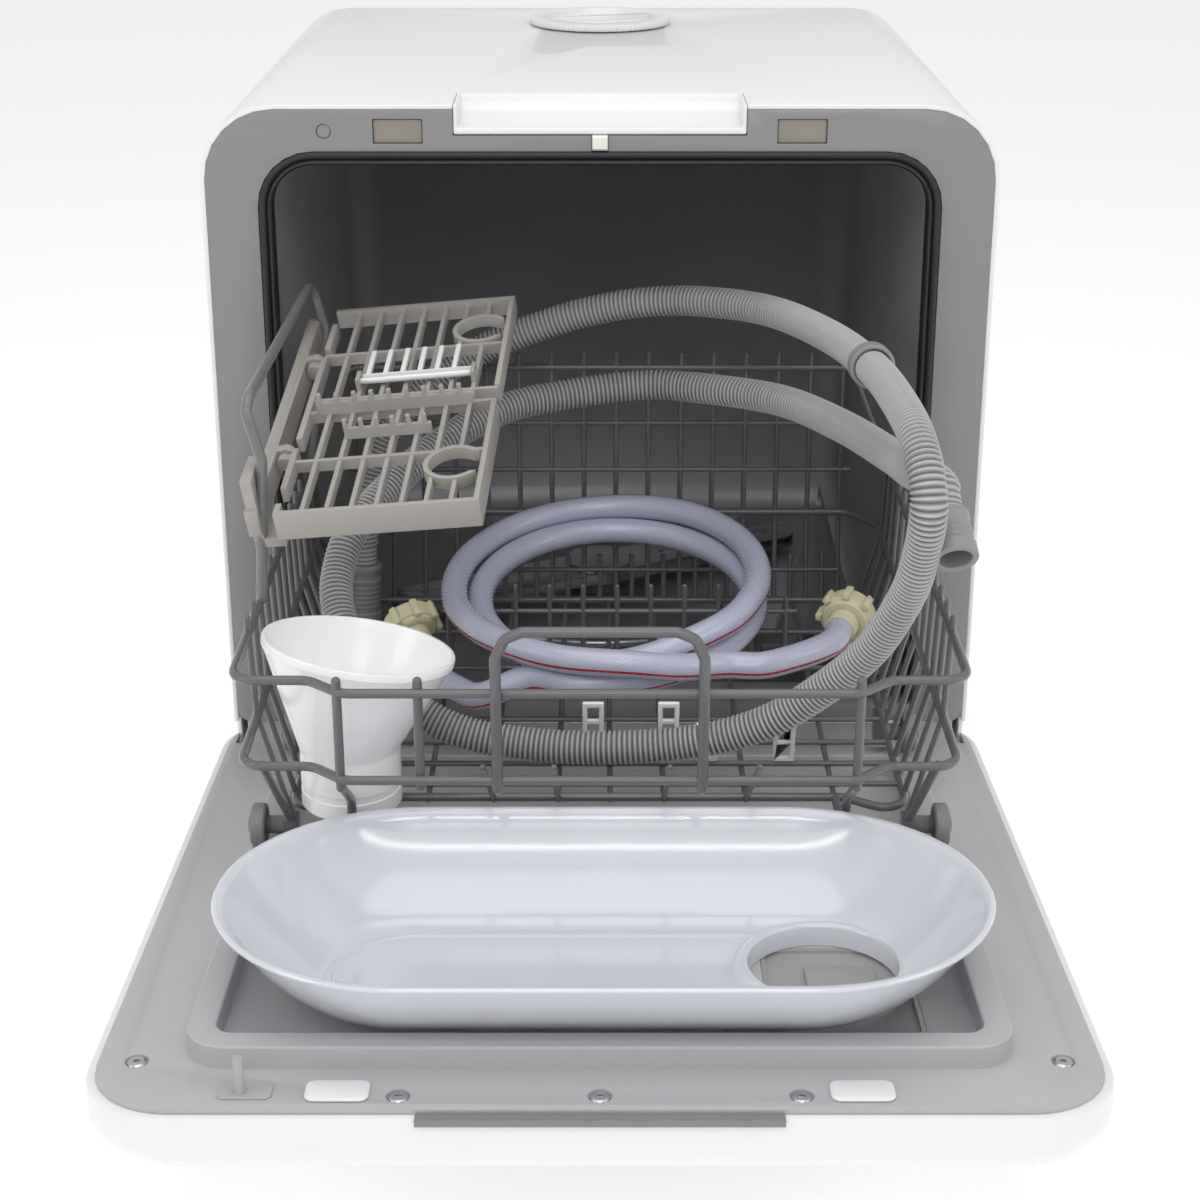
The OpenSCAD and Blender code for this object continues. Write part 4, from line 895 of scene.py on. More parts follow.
def tube(name, route, radius, material, sides=20):
    """Closed tube on even points, with a map of turns across and metres along. radius is a function of
    the length."""
    shape_verts, faces, maps = [], [], []
    last = len(route) - 1
    tangent = [(route[min(i + 1, last)] - route[max(i - 1, 0)]).normalized() for i in range(len(route))]
    side = tangent[0].orthogonal().normalized()
    run = [0.0]
    for i, p in enumerate(route):
        if i:
            run.append(run[-1] + (p - route[i - 1]).length)
            side = (tangent[i - 1].rotation_difference(tangent[i]) @ side).normalized()
        up = tangent[i].cross(side).normalized()
        r = radius(run[-1])
        shape_verts.extend(p + side * (r * math.cos(a)) + up * (r * math.sin(a)) for a in full_turn(sides))
    for i in range(last):
        for k in range(sides):
            m = (k + 1) % sides
            faces.append((i * sides + k, i * sides + m, (i + 1) * sides + m, (i + 1) * sides + k))
            u0, u1 = k / sides, (k + 1) / sides
            v0, v1 = run[i] * MM, run[i + 1] * MM
            maps.extend([(u0, v0), (u1, v0), (u1, v1), (u0, v1)])
    for i, order in ((0, range(sides - 1, -1, -1)), (last, range(sides))):
        faces.append(tuple(i * sides + k for k in order))
        maps.extend([(k / sides, run[i] * MM) for k in order])
    mesh = bpy.data.meshes.new(name)
    mesh.from_pydata([v * MM for v in shape_verts], [], faces)
    layer = mesh.uv_layers.new(name="UVMap")
    layer.data.foreach_set("uv", [c for uv in maps for c in uv])
    smooth(mesh, 60)
    mesh.materials.append(material)
    return linked(name, mesh)


def coil_point(degrees, r, h):
    """Point of the coil, in metres."""
    a = math.radians(degrees)
    flat = Vector((r * math.cos(a), r * math.sin(a), h))
    return tuple((COIL_AT + Matrix.Rotation(COIL_TILT, 3, "X") @ flat) * MM)


# (degrees round the coil, radius, height over its middle plane)
COIL_STATIONS = [
    (240, 90.6, -8.0), (256, 88.0, -7.6), (275, 82.0, -7.4), (300, 77.4, -7.3), (330, 76.0, -7.2),
    (600, 75.9, -7.2), (625, 75.8, -2.5), (650, 75.7, 4.0), (672, 75.6, 7.3), (700, 76.2, 7.6),
    (740, 79.5, 7.6), (780, 84.5, 5.5), (820, 88.6, 1.0), (860, 90.3, -1.0), (910, 90.2, 0.5),
    (950, 89.3, 6.4), (975, 88.9, 7.6), (993, 89.2, 7.4), (1010, 91.4, 3.2), (1026, 94.6, -1.4),
]
COIL_STEP = 15  # degrees between the points of the coil


def coil_route():
    """The inlet hose's points, from its left nut round the coil to its right nut."""
    route = [coil_point(*COIL_STATIONS[0])]
    for before, after in zip(COIL_STATIONS, COIL_STATIONS[1:]):
        steps = max(1, round((after[0] - before[0]) / COIL_STEP))
        for k in range(1, steps + 1):
            t = k / steps
            route.append(coil_point(*(a + (b - a) * t for a, b in zip(before, after))))
    return INLET_LEFT + route + INLET_RIGHT


# ---------- operators ----------


class DISHWASHER_OT_stage(Operator):
    """Sets the camera, the floor and the soft lights"""

    bl_idname = "dishwasher.stage"
    bl_label = "Stage and camera"

    def execute(self, context):
        scene = context.scene
        data = bpy.data.cameras.new("camera")
        data.lens, data.sensor_width, data.shift_y = LENS, 36, LENS_SHIFT
        data.clip_start, data.clip_end = 0.05, 60
        camera = bpy.data.objects.new("camera", data)
        camera.location = CAMERA_AT
        camera.rotation_euler = (CAMERA_PITCH, 0, 0)
        scene.collection.objects.link(camera)
        scene.camera = camera
        self.lay_floor(scene)
        for light in LIGHTS:
            self.hang_light(scene, *light)
        world = bpy.data.worlds.new("studio")
        world.use_nodes = True
        sky = world.node_tree.nodes["Background"]
        sky.inputs["Color"].default_value = (1, 1, 1, 1)
        sky.inputs["Strength"].default_value = SKY_GLOW
        scene.world = world
        scene.view_settings.view_transform = "Standard"
        return {"FINISHED"}

    @staticmethod
    def lay_floor(scene):
        mesh = bpy.data.meshes.new("floor")
        r = FLOOR_REACH
        mesh.from_pydata([(-r, -r, 0), (r, -r, 0), (r, r, 0), (-r, r, 0)], [], [(0, 1, 2, 3)])
        floor = bpy.data.objects.new("floor", mesh)
        glow = {"Emission_Color": (1, 1, 1, 1), "Emission_Strength": FLOOR_GLOW}
        mesh.materials.append(plastic("floor_white", (0.90, 0.90, 0.90), 0.75, 0.0, 0.0, 60, 0.0, **glow))
        scene.collection.objects.link(floor)
        floor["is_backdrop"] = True

    @staticmethod
    def hang_light(scene, name, place, target, size, power, depth):
        data = bpy.data.lights.new(name, "AREA")
        data.shape, data.size, data.energy = "RECTANGLE" if depth else "DISK", size, power
        if depth:
            data.size_y = depth
        light = bpy.data.objects.new(name, data)
        light.location = place
        light.rotation_euler = (Vector(target) - Vector(place)).to_track_quat("-Z", "Y").to_euler()
        scene.collection.objects.link(light)


class DISHWASHER_OT_drain_hose(Operator):
    """Makes the ribbed drain hose, its cuffs and the ring clip on it"""

    bl_idname = "dishwasher.drain_hose"
    bl_label = "Drain hose"

    def execute(self, context):
        pitch, depth = sizes().ring_pitch / MM, sizes().ring_depth / MM
        big = sizes().drain_d / MM / 2
        even, length = sample_route(DRAIN_ROUTE, pitch / 4)
        plain, plain_drop = 12.0, 0.9

        def radius(s):
            if s < plain or s > length - plain:
                return big - plain_drop
            wave = 0.5 + 0.5 * math.cos(math.tau * s / pitch)
            return big - depth * (1 - wave ** 0.7)

        hose = tube("drain_hose_ribbed", even, radius, finish_named("hose_grey"), 20)
        cuffs = self.cuffs()
        settle(cuffs, "rack", "cuff_grey", "drain_cuffs")
        settle(hose, "rack", "hose_grey", "drain_hose")
        return {"FINISHED"}

    @staticmethod
    def cuffs():
        """Both end cuffs, with their ribs and open mouths, and the ring clip."""
        shape = Shape()
        profile = [(10.0, 0), (10.4, 0.8), (10.4, 3.2), (9.9, 4.0), (9.9, 8.0), (10.3, 8.6),
                   (10.3, 10.2), (9.9, 10.8)]
        for start, end, length in (
            ((158.65, -195.3, 280.8), (160.6, -213.3, 267.9), 24),
            ((-137, 42.9, 161.8), (-138, 39.9, 133.8), 35.5),
        ):
            mouth = [(9.9, length - 8), (10.8, length - 6.6), (10.8, length - 0.6), (10.3, length),
                     (8.1, length), (7.5, length - 0.7), (7.5, 6.0)]
            ribs, z, rib_pitch = [], 12.5, 2.8
            while z < length - 9.5:
                ribs += [(9.9, z), (10.2, z + 0.4), (10.2, z + 1.0), (9.9, z + 1.4)]
                z += rib_pitch
            shape.lathe(profile + ribs + mouth + [(0, 6.0)], along(start, end), 40)
            shape.lathe([(0, 0), (9.4, 0), (10.0, 0.2)], along(start, end), 40)
        clip = along((134, -104, 324.3), (133, -96, 324.3))
        shape.lathe([(9.15, 0.6), (9.15, 7.4), (9.7, 8), (10.8, 8), (11.25, 7.5), (11.25, 0.5),
                     (10.8, 0), (9.7, 0)], clip, 40, loop=True)
        return piece(shape, "drain_cuffs_moulded", finish_named("cuff_grey"))


class DISHWASHER_OT_inlet_hose(Operator):
    """Makes the coiled inlet hose with its sleeve, line and winged union nuts"""

    bl_idname = "dishwasher.inlet_hose"
    bl_label = "Inlet hose"

    def execute(self, context):
        even, length = sample_route(coil_route(), 4.0)
        r = sizes().inlet_d / MM / 2
        hose = tube("inlet_hose_braided", even, lambda s: r, finish_named("inlet_hose_pale"), 28)
        nuts = self.nuts()
        settle(nuts, "rack", "nut_khaki", "inlet_nuts")
        settle(hose, "rack", "inlet_hose_pale", "inlet_hose", "inlet_coil")
        return {"FINISHED"}

    @staticmethod
    def nuts():
        """Both union nuts, each a ferrule, an open nut and wings round it."""
        shape = Shape()
        for start, end in (
            ((-98.1, -43.8, 148.65), (-102.6, -34.8, 154.15)),
            ((129.1, -54.8, 162.55), (134.1, -42.8, 164.05)),
        ):
            matrix = along(start, end)
            shape.lathe([(0, 0), (7.6, 0), (8.2, 0.5), (8.2, 2.6), (7.8, 3.0), (7.8, 5.4), (8.2, 5.8),
                         (8.2, 8.6), (9.5, 9.4), (0, 9.4)], matrix, 40)
            shape.lathe([(9.0, 8.0), (11.6, 8.0), (12.9, 9.0), (13.4, 10.4), (14.5, 11.0), (14.5, 19.4),
                         (14.0, 20.0), (12.6, 20.0), (12.0, 19.4), (12.0, 10.5), (0, 10.5)], matrix, 56)
            shape.lathe([(0, 8.2), (9.0, 8.2)], matrix, 56)
            for k in range(sizes().lugs):
                turn = matrix @ Matrix.Rotation(math.tau * k / sizes().lugs, 4, "Z")
                shape.box(13.4, -2.0, 8.6, 17.0, 2.0, 19.6, 0.9, turn)
        return piece(shape, "inlet_nuts_winged", finish_named("nut_khaki"))


class DISHWASHER_OT_casing(Operator):
    """Makes the casing, front frame, hand cup, filling cap, pan, feet and back"""

    bl_idname = "dishwasher.casing"
    bl_label = "Casing"

    def execute(self, context):
        dress("cabinet_shell", "cabinet", "casing_white", 0.7)
        dress("front_frame", "cabinet", "frame_grey", 0.7)
        dress("handle_cup", "cabinet", "white_plastic", 1.0)
        dress("fill_cap", "fill_cap", "white_plastic", 0)
        dress("base_pan", "cabinet", "pan_grey", 0.6)
        dress("feet", "cabinet", "foot_rubber", 1.0)
        dress("back_panel", "cabinet", "zinc_steel", 0.3)
        dress("rear_spacers", "cabinet", "pan_grey", 1.0)
        dress("inlet_valve", "cabinet", "valve_white", 0.5)
        dress("drain_port", "cabinet", "port_grey", 0.5)
        dress("cord_gland", "cabinet", "black_plastic", 0.5)
        return {"FINISHED"}


class DISHWASHER_OT_tub(Operator):
    """Makes the tub, its seal, the strike plates, the latch and the door switch"""

    bl_idname = "dishwasher.tub"
    bl_label = "Tub and seal"

    def execute(self, context):
        dress("tub", "cabinet", "tub_steel", 0)
        self.seal()
        dress("strike_plates", "cabinet", "strike_beige", 0.5)
        dress("latch_piece", "latch_piece", "latch_white", 0.6)
        dress("switch_plunger", "switch_plunger", "black_plastic", 0.5, finish="frame_grey")
        dress("door_switch", "cabinet", "black_plastic", 0.5)
        self.strike_rims()
        coat("latch_spring", "spring_steel")
        return {"FINISHED"}

    @staticmethod
    def seal():
        """Lip seal round the sides and the top of the opening."""
        play = 0.2
        half, top, sill = OPENING[2] - play, OPENING[3] - play, 96.2
        low, high = (v.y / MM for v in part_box("tub_gasket"))
        # two lips with a groove between them, as (inset, depth)
        section = [(0, high), (0, low + 1.0), (0.8, low + 0.2), (2.0, low), (3.2, low + 0.7),
                   (4.0, low + 2.0), (4.8, low + 0.9), (5.8, low + 0.5), (6.7, low + 1.2),
                   (SEAL_W, low + 2.4), (SEAL_W, high)]

        def run(inset, y):
            corner = OPENING_R - play - inset
            path = [(half - inset, sill)]
            path += arc(half - OPENING_R, top - OPENING_R, corner, 0, 90)
            path += arc(OPENING_R - half, top - OPENING_R, corner, 90, 180)
            path += [(inset - half, sill)]
            return at_y(path, y)

        runs = [run(inset, y) for inset, y in section]
        shape = Shape().loft([list(station) for station in zip(*runs)])
        seal = piece(shape, "tub_seal", finish_named("seal_black"), 40)
        settle(seal, "cabinet", "seal_black", "tub_gasket")

    @staticmethod
    def strike_rims():
        """Thin dark bead round each strike plate."""
        x, z, w, h = STRIKE
        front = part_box("strike_plates")[0].y / MM
        shape = Shape()
        for side in (-1, 1):
            x0, z0, x1, z1 = side * x - w / 2, z - h / 2, side * x + w / 2, z + h / 2
            rings = []
            for out, y in ((-0.2, -0.05), (-0.1, -0.5), (0.5, -0.75), (1.1, -0.5), (1.2, 0.4), (0.3, 0.9),
                           (-0.2, 0.9)):
                outline = rounded(x0 - out, z0 - out, x1 + out, z1 + out, 1.4 + out)
                rings.append(at_y(outline, front + y))
            shape.loft(rings, loop=True)
        settle(piece(shape, "strike_rims", finish_named("strike_dark")), "cabinet", "strike_beige")


class DISHWASHER_OT_washing(Operator):
    """Makes the wash arm, sump, filter, pumps, heater and tank"""

    bl_idname = "dishwasher.washing"
    bl_label = "Washing parts"

    def execute(self, context):
        dress("spray_arm", "spray_arm", "arm_steel", 0.5)
        dress("spray_hub", "cabinet", "port_grey", 0.5)
        dress("sump", "cabinet", "port_grey", 0.6)
        dress("filter", "cabinet", "arm_steel", 0.3)
        dress("wash_pump", "cabinet", "pump_grey", 0.8)
        dress("drain_pump", "cabinet", "pump_grey", 0.8)
        dress("water_tank", "cabinet", "tank_clear", 0.8)
        coat("heater", "heater_steel")
        return {"FINISHED"}


class DISHWASHER_OT_door(Operator):
    """Makes the door's shell and inner panel, its caps, pin, grip strip and hinges"""

    bl_idname = "dishwasher.door"
    bl_label = "Door"

    def execute(self, context):
        back = door_matrix().inverted()
        top = FACE + RIDGE_H

        def on_crest(a, b):
            return (back @ a).z > top - 0.1 and (back @ b).z > top - 0.1

        self.shell()
        dress("door_panel", "door", "door_grey", 0.7, soften=(on_crest, 4.6, 6))
        dress("magnet_caps", "door", "white_plastic", 0.9)
        dress("door_pin", "door", "pin_grey", 0.5)
        dress("hinge_brackets", "cabinet", "zinc_steel", 0.5)
        coat("hinge_pins", "zinc_steel")
        coat("control_board", "board_green")
        self.grip()
        return {"FINISHED"}

    @staticmethod
    def shell():
        """White outer tray, whose outer face curves in towards its free edges."""
        wall, heel = 2.4, 6.0
        sweep_in, sweep_up = 46.0, 25.0

        def loop_at(inset, near, h):
            r = max(DOOR_R - inset * 0.6, 6)
            low_r = max(DOOR_R - near * 0.6, 6)
            across = HALF_W - inset
            return at_h(rounded(-across, near - DOOR_HEEL, across, DOOR_REACH - inset, r, low_r), h)

        outside = [loop_at(1.1, 1.1, RIM_TOP), loop_at(0.3, 0.3, RIM_TOP - 0.4), loop_at(0, 0, RIM_TOP - 1.3)]
        bends = 9
        for k in range(bends + 1):
            a = math.radians(90 * k / bends)
            inset = sweep_in * (1 - math.cos(a))
            outside.append(loop_at(inset, heel * (1 - math.cos(a)), OUTER + sweep_up * (1 - math.sin(a))))
        inside = [loop_at(inset + wall, near + wall, h) for inset, near, h in (
            (sweep_in * 0.9, heel, OUTER + wall), (sweep_in * 0.45, heel * 0.6, OUTER + wall + 4.5),
            (sweep_in * 0.12, heel * 0.3, OUTER + wall + 14), (1.6, 1.6, RIM_TOP - 6),
            (1.6, 1.6, RIM_TOP - 0.4), (1.2, 1.2, RIM_TOP))]
        shape = Shape().loft(outside, start=False).loft(inside, end=False)
        shape.loft([inside[-1], outside[0]], start=False, end=False)
        obj = piece(shape, "door_tray", finish_named("white_plastic"), 40)
        slots = Shape()
        for s in (-1, 1):
            slots.box(s * BRACKET_X - BRACKET_T / 2 - 1, -9, OUTER - 3, s * BRACKET_X + BRACKET_T / 2 + 1,
                      DOOR_HEEL + 3, FACE + 2, 0.2)
        for x in BUTTON_XS:
            slots.lathe([(0, OUTER - 4), (5.8, OUTER - 4), (5.8, OUTER + 9), (0, OUTER + 9)],
                        Matrix.Translation((x, -BUTTON_R, 0)), 32)
        cut(obj, slots, 40)
        placed(obj, door_matrix())
        settle(obj, "door", "white_plastic", "door_shell")

    @staticmethod
    def grip():
        """Strip in the grip of the door's edge, with a slightly wavy upper edge."""
        low, high, half, steps = FACE - 4, FACE - 0.5, 73, 96
        across = [half - 2 * half * k / steps for k in range(steps + 1)]
        upper = [(x, high - 0.45 + 0.35 * math.sin(x * 0.42) * math.cos(x * 0.11)) for x in across]
        outline = [(-half, low), (half, low)] + upper
        lip = door_reach_of("grip_strip")
        shape = Shape()
        shape.loft([[(x, y, h) for x, h in outline] for y in (-lip, -DOOR_REACH - 0.05)])
        shape.box(-half, -DOOR_REACH - 0.9, RIM_TOP + 0.05,
                  half, DOOR_RIM - DOOR_REACH - 0.4, high - 0.4, 0.4)
        obj = piece(shape, "grip_strip_moulded", finish_named("grip_grey"))
        placed(obj, door_matrix())
        settle(obj, "door", "grip_grey", "grip_strip")


def door_reach_of(node):
    """Greatest distance of a node from the hinge, along the door."""
    back = door_matrix().inverted()
    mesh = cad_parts[node].data
    return -min((back @ (v.co / MM)).y for v in mesh.vertices)


class DISHWASHER_OT_screws(Operator):
    """Makes the star-drive screws of the inner panel"""

    bl_idname = "dishwasher.screws"
    bl_label = "Door screws"

    def execute(self, context):
        def ring(r, z, wave=0.0):
            reach = [(a, r * (1 + wave * math.cos(6 * a))) for a in full_turn(48)]
            return [(q * math.cos(a), q * math.sin(a), z) for a, q in reach]

        def star(r, z):
            return ring(r, z, 0.16)

        screw = Shape()
        screw.loft([ring(1.7, -11), ring(1.7, 0), ring(4.3, 0), ring(4.3, 0.5), ring(4.15, 1.0),
                    ring(3.7, 1.4), ring(3.0, 1.6), ring(2.3, 1.65), star(1.62, 1.6), star(1.5, 1.4),
                    star(1.45, 0.3)])
        spots = [(x, -r, FACE - 1.4) for x, r in SCREWS]
        obj = at_spots("door_screws_turned", screw, spots, finish_named("screw_steel"))
        placed(obj, door_matrix())
        settle(obj, "door", "screw_steel", "door_screws")
        return {"FINISHED"}


class DISHWASHER_OT_dispenser(Operator):
    """Makes the detergent dispenser, its sliding lid and the buttons on the door's outer face"""

    bl_idname = "dishwasher.dispenser"
    bl_label = "Dispenser and buttons"

    def execute(self, context):
        dress("dispenser_body", "door", "dispenser_grey", 0.6)
        dress("dispenser_lid", "dispenser_lid", "dispenser_grey", 0.4)
        for name in ("power", "program", "start"):
            dress(f"button_{name}", f"button_{name}", "button_grey", 0.5)
        return {"FINISHED"}


class DISHWASHER_OT_basin(Operator):
    """Makes the milky basin that lies on the open door"""

    bl_idname = "dishwasher.basin"
    bl_label = "Basin"

    def execute(self, context):
        def oval(inset, h):
            r = BASIN_R - inset
            run = BASIN_HALF - BASIN_R
            return [(x + BASIN_X, y - BASIN_MID, h)
                    for x, y in arc(run, 0, r, -90, 90, 28) + arc(-run, 0, r, 90, 270, 28)]

        low, top, wall, slope = BASIN_BOTTOM, BASIN_BOTTOM + BASIN_H, BASIN_WALL, 44
        # (share of the slope inwards, share of the height), from the rim down to the floor
        steps = [(0, 1), (0.03, 0.95), (0.08, 0.87), (0.18, 0.72), (0.3, 0.56), (0.43, 0.41), (0.56, 0.28),
                 (0.66, 0.19), (0.76, 0.11), (0.88, 0.035), (1.0, 0.0)]
        outside = [oval(slope * a, low + BASIN_H * b) for a, b in reversed(steps[1:])]
        outside.append(oval(0.0, top - 2.2))
        inside = [oval(slope * a + wall, low + (BASIN_H - wall) * b + wall) for a, b in steps[1:]]
        bead = [oval(slope + wall + inset, low + wall + h)
                for inset, h in ((1.5, 0.1), (2.3, 0.9), (3.3, 0.9), (4.1, 0.1))]
        rim = [oval(inset, top + h)
               for inset, h in ((-1.2, -1.6), (-1.5, -0.6), (-1.0, 0.2), (0.4, 0.3), (1.6, 0.1))]
        shape = Shape().loft(outside + rim + inside + bead)
        obj = piece(shape, "basin_shell", finish_named("basin_milky"), 40)
        hole_x, hole_reach, r = BASIN_HOLE
        at_hole = Matrix.Translation((hole_x, -hole_reach, 0))
        hole = [(0, low - 8), (r + 0.4, low - 8), (r + 0.4, low + 14), (0, low + 14)]
        cut(obj, Shape().lathe(hole, at_hole, 72), 40)
        collar_section = [(0, -3.7), (3.2, -3.7), (4, -3.0), (4, 0.9), (8, 0.9), (7.2, 2.6), (5.4, 5.4),
                          (3.6, 6.8), (1.8, 7.0), (0.6, 6.4), (0, 5.2)]
        collar = Shape()
        collar.lathe([(r + out, low + h) for out, h in collar_section], at_hole, 72, loop=True)
        for y in (-30, 30):
            collar.lathe([(0, low - 3.7), (4.2, low - 3.7), (5, low - 3.0), (5, low + 1), (0, low + 1)],
                         Matrix.Translation((-90, -BASIN_MID + y, 0)), 24)
        ring = piece(collar, "basin_collar", finish_named("basin_milky"), 40)
        join(obj, ring)
        smooth(obj.data, 40)
        placed(obj, door_matrix())
        settle(obj, "load", "basin_milky", "basin")
        return {"FINISHED"}


class DISHWASHER_OT_rack(Operator):
    """Makes the coated wire rack: rails, uprights, floor, tines, handle and axles"""

    bl_idname = "dishwasher.rack"
    bl_label = "Wire rack"

    def execute(self, context):
        coating = finish_named("wire_coat")
        rail, wire, pitch = sizes().rail, sizes().wire, sizes().pitch / MM
        loops = [self.loop(RACK_HALF, TOP_RAIL, BACK_TOP), self.loop(LOW_HALF, LOW_RAIL, LOW_RAIL),
                 self.floor_edge()]
        rails = wires("rack_rails", loops + self.posts(), rail, coating, RAIL_BEND, 14)
        uprights = wires("rack_uprights", self.uprights(pitch), wire, coating)
        grip = [(-46, -254.2, LOW_RAIL - 4), (-46, -259, TOP_RAIL), (-46, -259, 238), (-42, -258, 247),
                (-34, -257, HANDLE_H)]
        grip += [(-x, y, z) for x, y, z in reversed(grip)]
        handle = wires("rack_handle", [grip], HANDLE_WIRE, coating, HANDLE_BEND, 14)
        frame_piece = join(rails, uprights, handle)
        smooth(frame_piece.data, 50)
        settle(frame_piece, "rack", "wire_coat", "rack_frame")
        settle(wires("rack_floor_wires", self.grid(), wire, coating), "rack", "wire_coat", "rack_floor_grid")
        settle(wires("rack_tines", self.tines(pitch), wire, coating), "rack", "wire_coat", "tine_rows")
        dress("wheel_axles", "rack", "wire_coat", 0.4)
        return {"FINISHED"}

    @staticmethod
    def loop(half, z, back_z):
        """A rail all round, with the jogs of its front corners."""
        path = [(-148, RACK_BACK, back_z), (-half, 66, z), (-half, RACK_CORNER, z),
                (-JOG_OUT, RACK_CORNER, z), (-JOG_IN, RACK_FRONT, z)]
        path += [(-x, y, h) for x, y, h in reversed(path)]
        return path + [path[0]]

    @staticmethod
    def floor_edge():
        z = RACK_FLOOR
        half = [(-FLOOR_HALF, FLOOR_BACK, z), (-FLOOR_HALF, FLOOR_CORNER, z), (-120, FLOOR_FRONT, z)]
        path = half + [(-x, y, h) for x, y, h in reversed(half)]
        return path + [path[0]]

    @staticmethod
    def posts():
        """Heavier upright wires at the front and the corners."""
        chains = [[(x, -251, 171), (x, -252, 224)] for x in (-117, -81, 116)]
        chains += [[(x, -251, 172), (x, -215.6, 146), (x, -215.6, 129), (x, -210.6, RACK_FLOOR),
                    (x, -172, RACK_FLOOR)] for x in (-117, 116)]
        chains += [[(s * FLOOR_HALF, FLOOR_CORNER, RACK_FLOOR), (s * 154, -239, LOW_RAIL)] for s in (-1, 1)]
        return chains

    @staticmethod
    def uprights(pitch):
        """Thin wires of the sides, the back and the front."""
        chains = []
        y = -188
        while y <= 60:
            for s in (-1, 1):
                chains.append([(s * FLOOR_HALF, y, RACK_FLOOR), (s * LOW_HALF, y, LOW_RAIL),
                               (s * RACK_HALF, y, TOP_RAIL + 8)])
            y += pitch
        x = -142.5
        while x <= 143:
            chains.append([(x, FLOOR_BACK, RACK_FLOOR), (x, RACK_BACK, 170), (x, RACK_BACK, 274)])
            x += pitch
        chains += [[(-148, RACK_BACK, z), (148, RACK_BACK, z)] for z in (232, 203)]
        chains += [[(x, FLOOR_FRONT, RACK_FLOOR), (x, -251, 181)] for x in (-52.6, -20.7, 31.6, 72)]
        return chains

    @staticmethod
    def grid():
        """Wires of the floor, the long ones under the cross ones."""
        chains = [[(-148, y, RACK_FLOOR), (148, y, RACK_FLOOR)]
                  for y in (-158, -136, -112, -85, -55, -20, 30)]
        z = RACK_FLOOR - 2.4
        chains += [[(x, -170, z), (x, 76, z)] for x in (-120, -85, -52.6, -20.7, 5, 31.6, 72, 116)]
        return chains

    @staticmethod
    def tines(pitch):
        """Two rows of plate tines. Those under the coil are shorter than those within its ring."""
        chains = []
        x = -85.5
        while x <= 115:
            chains.append([(x, 0, RACK_FLOOR), (x, 0, 165 if abs(x - COIL_AT.x) < 60.7 else 157.5)])
            x += pitch
        x = -57
        while x <= 140:
            chains.append([(x, 79, RACK_FLOOR), (x, 84, 150)])
            x += pitch
        chains += [[(-88, 0, 150), (110, 0, 150)], [(-60, 82, 142), (142, 82, 142)]]
        return chains


class DISHWASHER_OT_wheels(Operator):
    """Makes the rack's four wheels"""

    bl_idname = "dishwasher.wheels"
    bl_label = "Rack wheels"

    def execute(self, context):
        half, spokes = WHEEL_W / 2, 5
        side_profile = [(2.6, 0), (4.2, 0), (4.6, 0.4), (4.8, 1.6), (7.6, 1.6), (8.0, 0.4), (8.4, 0),
                        (9.6, 0), (10.3, 0.7), (10.5, 1.6)]
        profile = [(r, h - half) for r, h in side_profile]
        profile += [(r, half - h) for r, h in reversed(side_profile)]
        for end in ("front", "rear"):
            for side in ("left", "right"):
                node = f"wheel_{end}_{side}"
                low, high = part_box(node)
                axle = Matrix.Translation((low + high) / 2 / MM) @ Matrix.Rotation(math.pi / 2, 4, "Y")
                wheel = Shape().lathe(profile, axle, 48, loop=True)
                for a in full_turn(spokes):
                    spoke = axle @ Matrix.Rotation(a, 4, "Z")
                    wheel.box(4.4, -0.6, -half + 0.5, 8.0, 0.6, half - 0.5, 0.2, spoke)
                settle(piece(wheel, f"{node}_moulded", finish_named("wheel_grey")), node, "wheel_grey", node)
        return {"FINISHED"}


class DISHWASHER_OT_shelf(Operator):
    """Makes the folding cup shelf with its comb, bracket and bail, and the ladder clips"""

    bl_idname = "dishwasher.shelf"
    bl_label = "Folding shelf"

    def execute(self, context):
        dress("shelf", "shelf", "shelf_grey", 0.5)
        dress("shelf_comb", "shelf_comb", "clip_white", 0.5)
        dress("shelf_bracket", "rack", "shelf_grey", 0.6)
        dress("tine_clips", "rack", "clip_white", 0.6)
        z = TOP_RAIL + 2
        bail = [(-164.5, -150, z), (-161, -150, 292), (-168, -147, 316), (-167, -140, 321), (-158, 18, 333),
                (-156, 24, 329), (-151, 25, 307), (-164, 25, z)]
        obj = wires("shelf_bail_bent", [bail], BAIL_WIRE, finish_named("bail_grey"), BAIL_BEND, 16)
        settle(obj, "rack", "bail_grey", "shelf_bail")
        return {"FINISHED"}


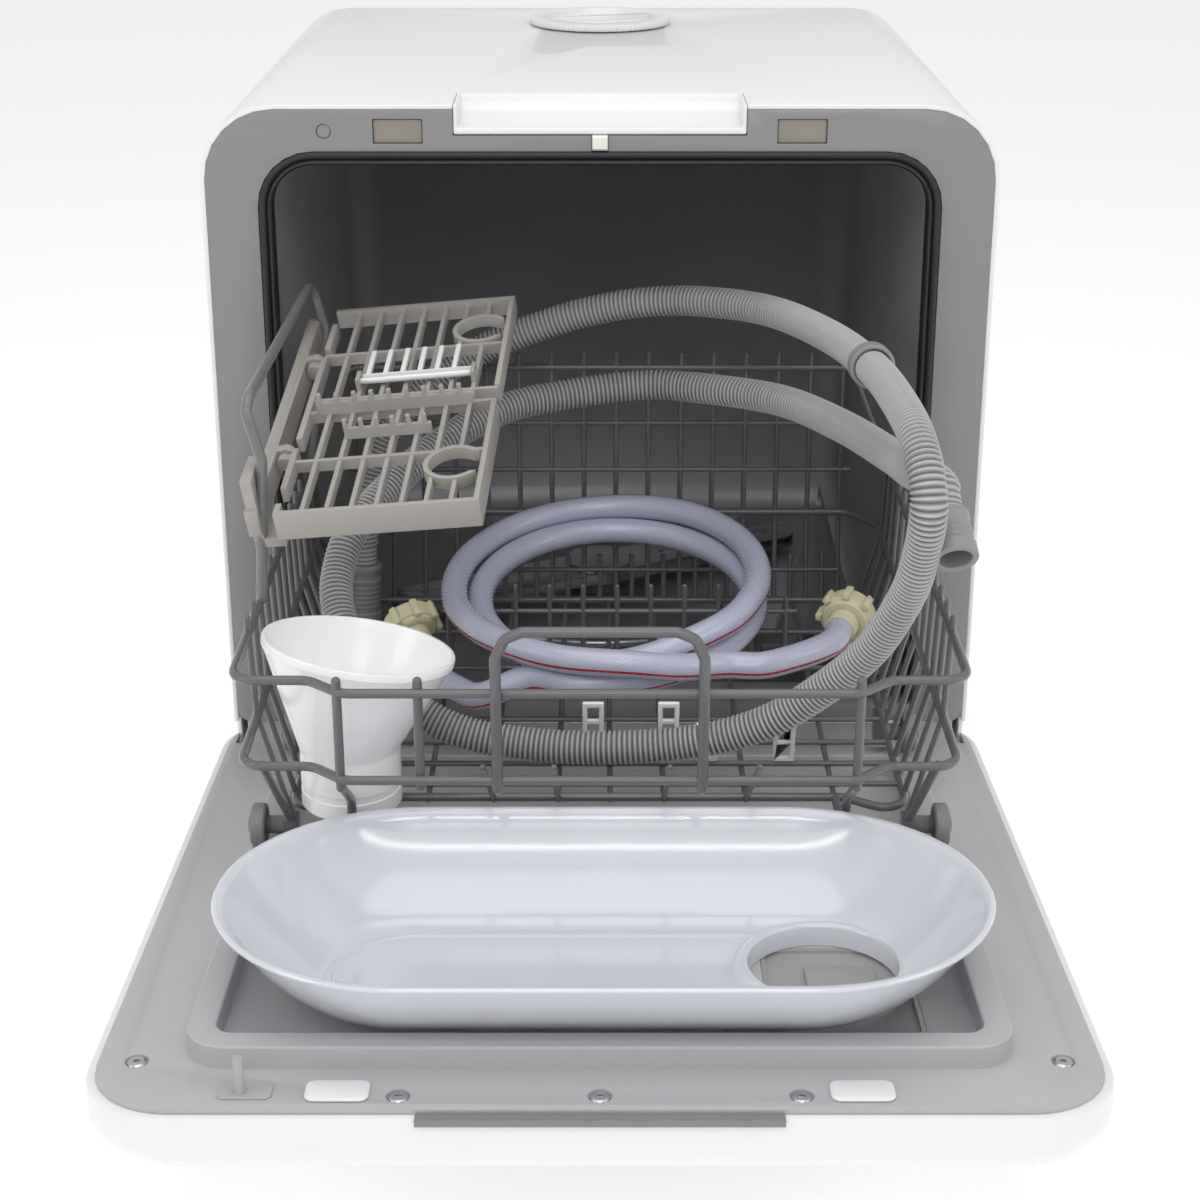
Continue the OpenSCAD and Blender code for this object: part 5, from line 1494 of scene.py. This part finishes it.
class DISHWASHER_OT_funnel(Operator):
    """Makes the filling funnel with its slanted rim and grooved skirt"""

    bl_idname = "dishwasher.funnel"
    bl_label = "Funnel"

    def execute(self, context):
        def at_height(z):
            return Matrix.Translation((FUNNEL_X, FUNNEL_Y, z))

        def ring(matrix, r, h=0.0):
            return [matrix @ Vector((r * math.cos(a), r * math.sin(a), h)) for a in full_turn(72)]

        def between(a, b, t):
            return [p.lerp(q, t) for p, q in zip(a, b)]

        tilt = Matrix.Rotation(math.radians(9), 4, "Y") @ Matrix.Rotation(math.radians(-8), 4, "X")
        neck, mouth = at_height(162), Matrix.Translation((FUNNEL_X + 6, FUNNEL_Y, 212)) @ tilt
        outer_low, outer_high = ring(neck, 24.5), ring(mouth, 45.2, -3)
        inner_low, inner_high = ring(neck, 22.25), ring(mouth, 43.2, -3)
        wall_out = [between(outer_low, outer_high, t) for t in (0, 0.1, 0.35, 0.7, 1)]
        wall_in = [between(inner_high, inner_low, t) for t in (0, 0.3, 0.65, 0.9, 1)]
        lip = [ring(mouth, r, h)
               for r, h in ((45.9, -2.2), (46.0, 0.6), (45.7, 1.3), (45.0, 1.5), (44.2, 1.3), (43.9, 0.6))]
        # from the neck down inside the skirt, round the spout under it, and up its grooved outside
        skirt = [ring(at_height(z), r) for z, r in (
            (160, 22.25), (134.5, 22.25), (134, 22.0), (134, 10.4), (126.8, 10.2), (126.8, 12.6),
            (127.4, 13.1), (132.0, 14.8), (132.0, 23.6), (132.6, 24.2), (140, 24.2), (140.6, 23.6),
            (143.4, 23.6), (144, 24.2), (159, 24.2), (161, 24.3))]
        shape = Shape().loft(wall_out + lip + wall_in + skirt, loop=True)
        obj = piece(shape, "funnel_moulded", finish_named("funnel_white"), 36)
        settle(obj, "rack", "funnel_white", "funnel")
        return {"FINISHED"}


STEPS = (
    DISHWASHER_OT_stage, DISHWASHER_OT_drain_hose, DISHWASHER_OT_inlet_hose, DISHWASHER_OT_casing,
    DISHWASHER_OT_tub, DISHWASHER_OT_washing, DISHWASHER_OT_door, DISHWASHER_OT_screws,
    DISHWASHER_OT_dispenser, DISHWASHER_OT_basin, DISHWASHER_OT_rack, DISHWASHER_OT_wheels,
    DISHWASHER_OT_shelf, DISHWASHER_OT_funnel,
)


class DISHWASHER_PT_panel(Panel):
    """Lists the sizes, the colours and the steps"""

    bl_idname = "DISHWASHER_PT_panel"
    bl_label = "Dishwasher"
    bl_space_type = "VIEW_3D"
    bl_region_type = "UI"
    bl_category = "Dishwasher"

    def draw(self, context):
        layout = self.layout
        for group in (sizes(), colours()):
            column = layout.column()
            for name in group.__annotations__:
                column.prop(group, name)
        for step in STEPS:
            layout.operator(step.bl_idname)


CLASSES = (DishwasherSizes, DishwasherColours) + STEPS + (DISHWASHER_PT_panel,)


def register():
    for cls in CLASSES:
        bpy.utils.register_class(cls)
    bpy.types.Scene.dishwasher_sizes = PointerProperty(type=DishwasherSizes)
    bpy.types.Scene.dishwasher_colours = PointerProperty(type=DishwasherColours)


def unregister():
    del bpy.types.Scene.dishwasher_colours
    del bpy.types.Scene.dishwasher_sizes
    for cls in reversed(CLASSES):
        bpy.utils.unregister_class(cls)


def main():
    register()
    for step in STEPS:
        group, name = step.bl_idname.split(".")
        getattr(getattr(bpy.ops, group), name)()


if __name__ == "__main__":
    main()
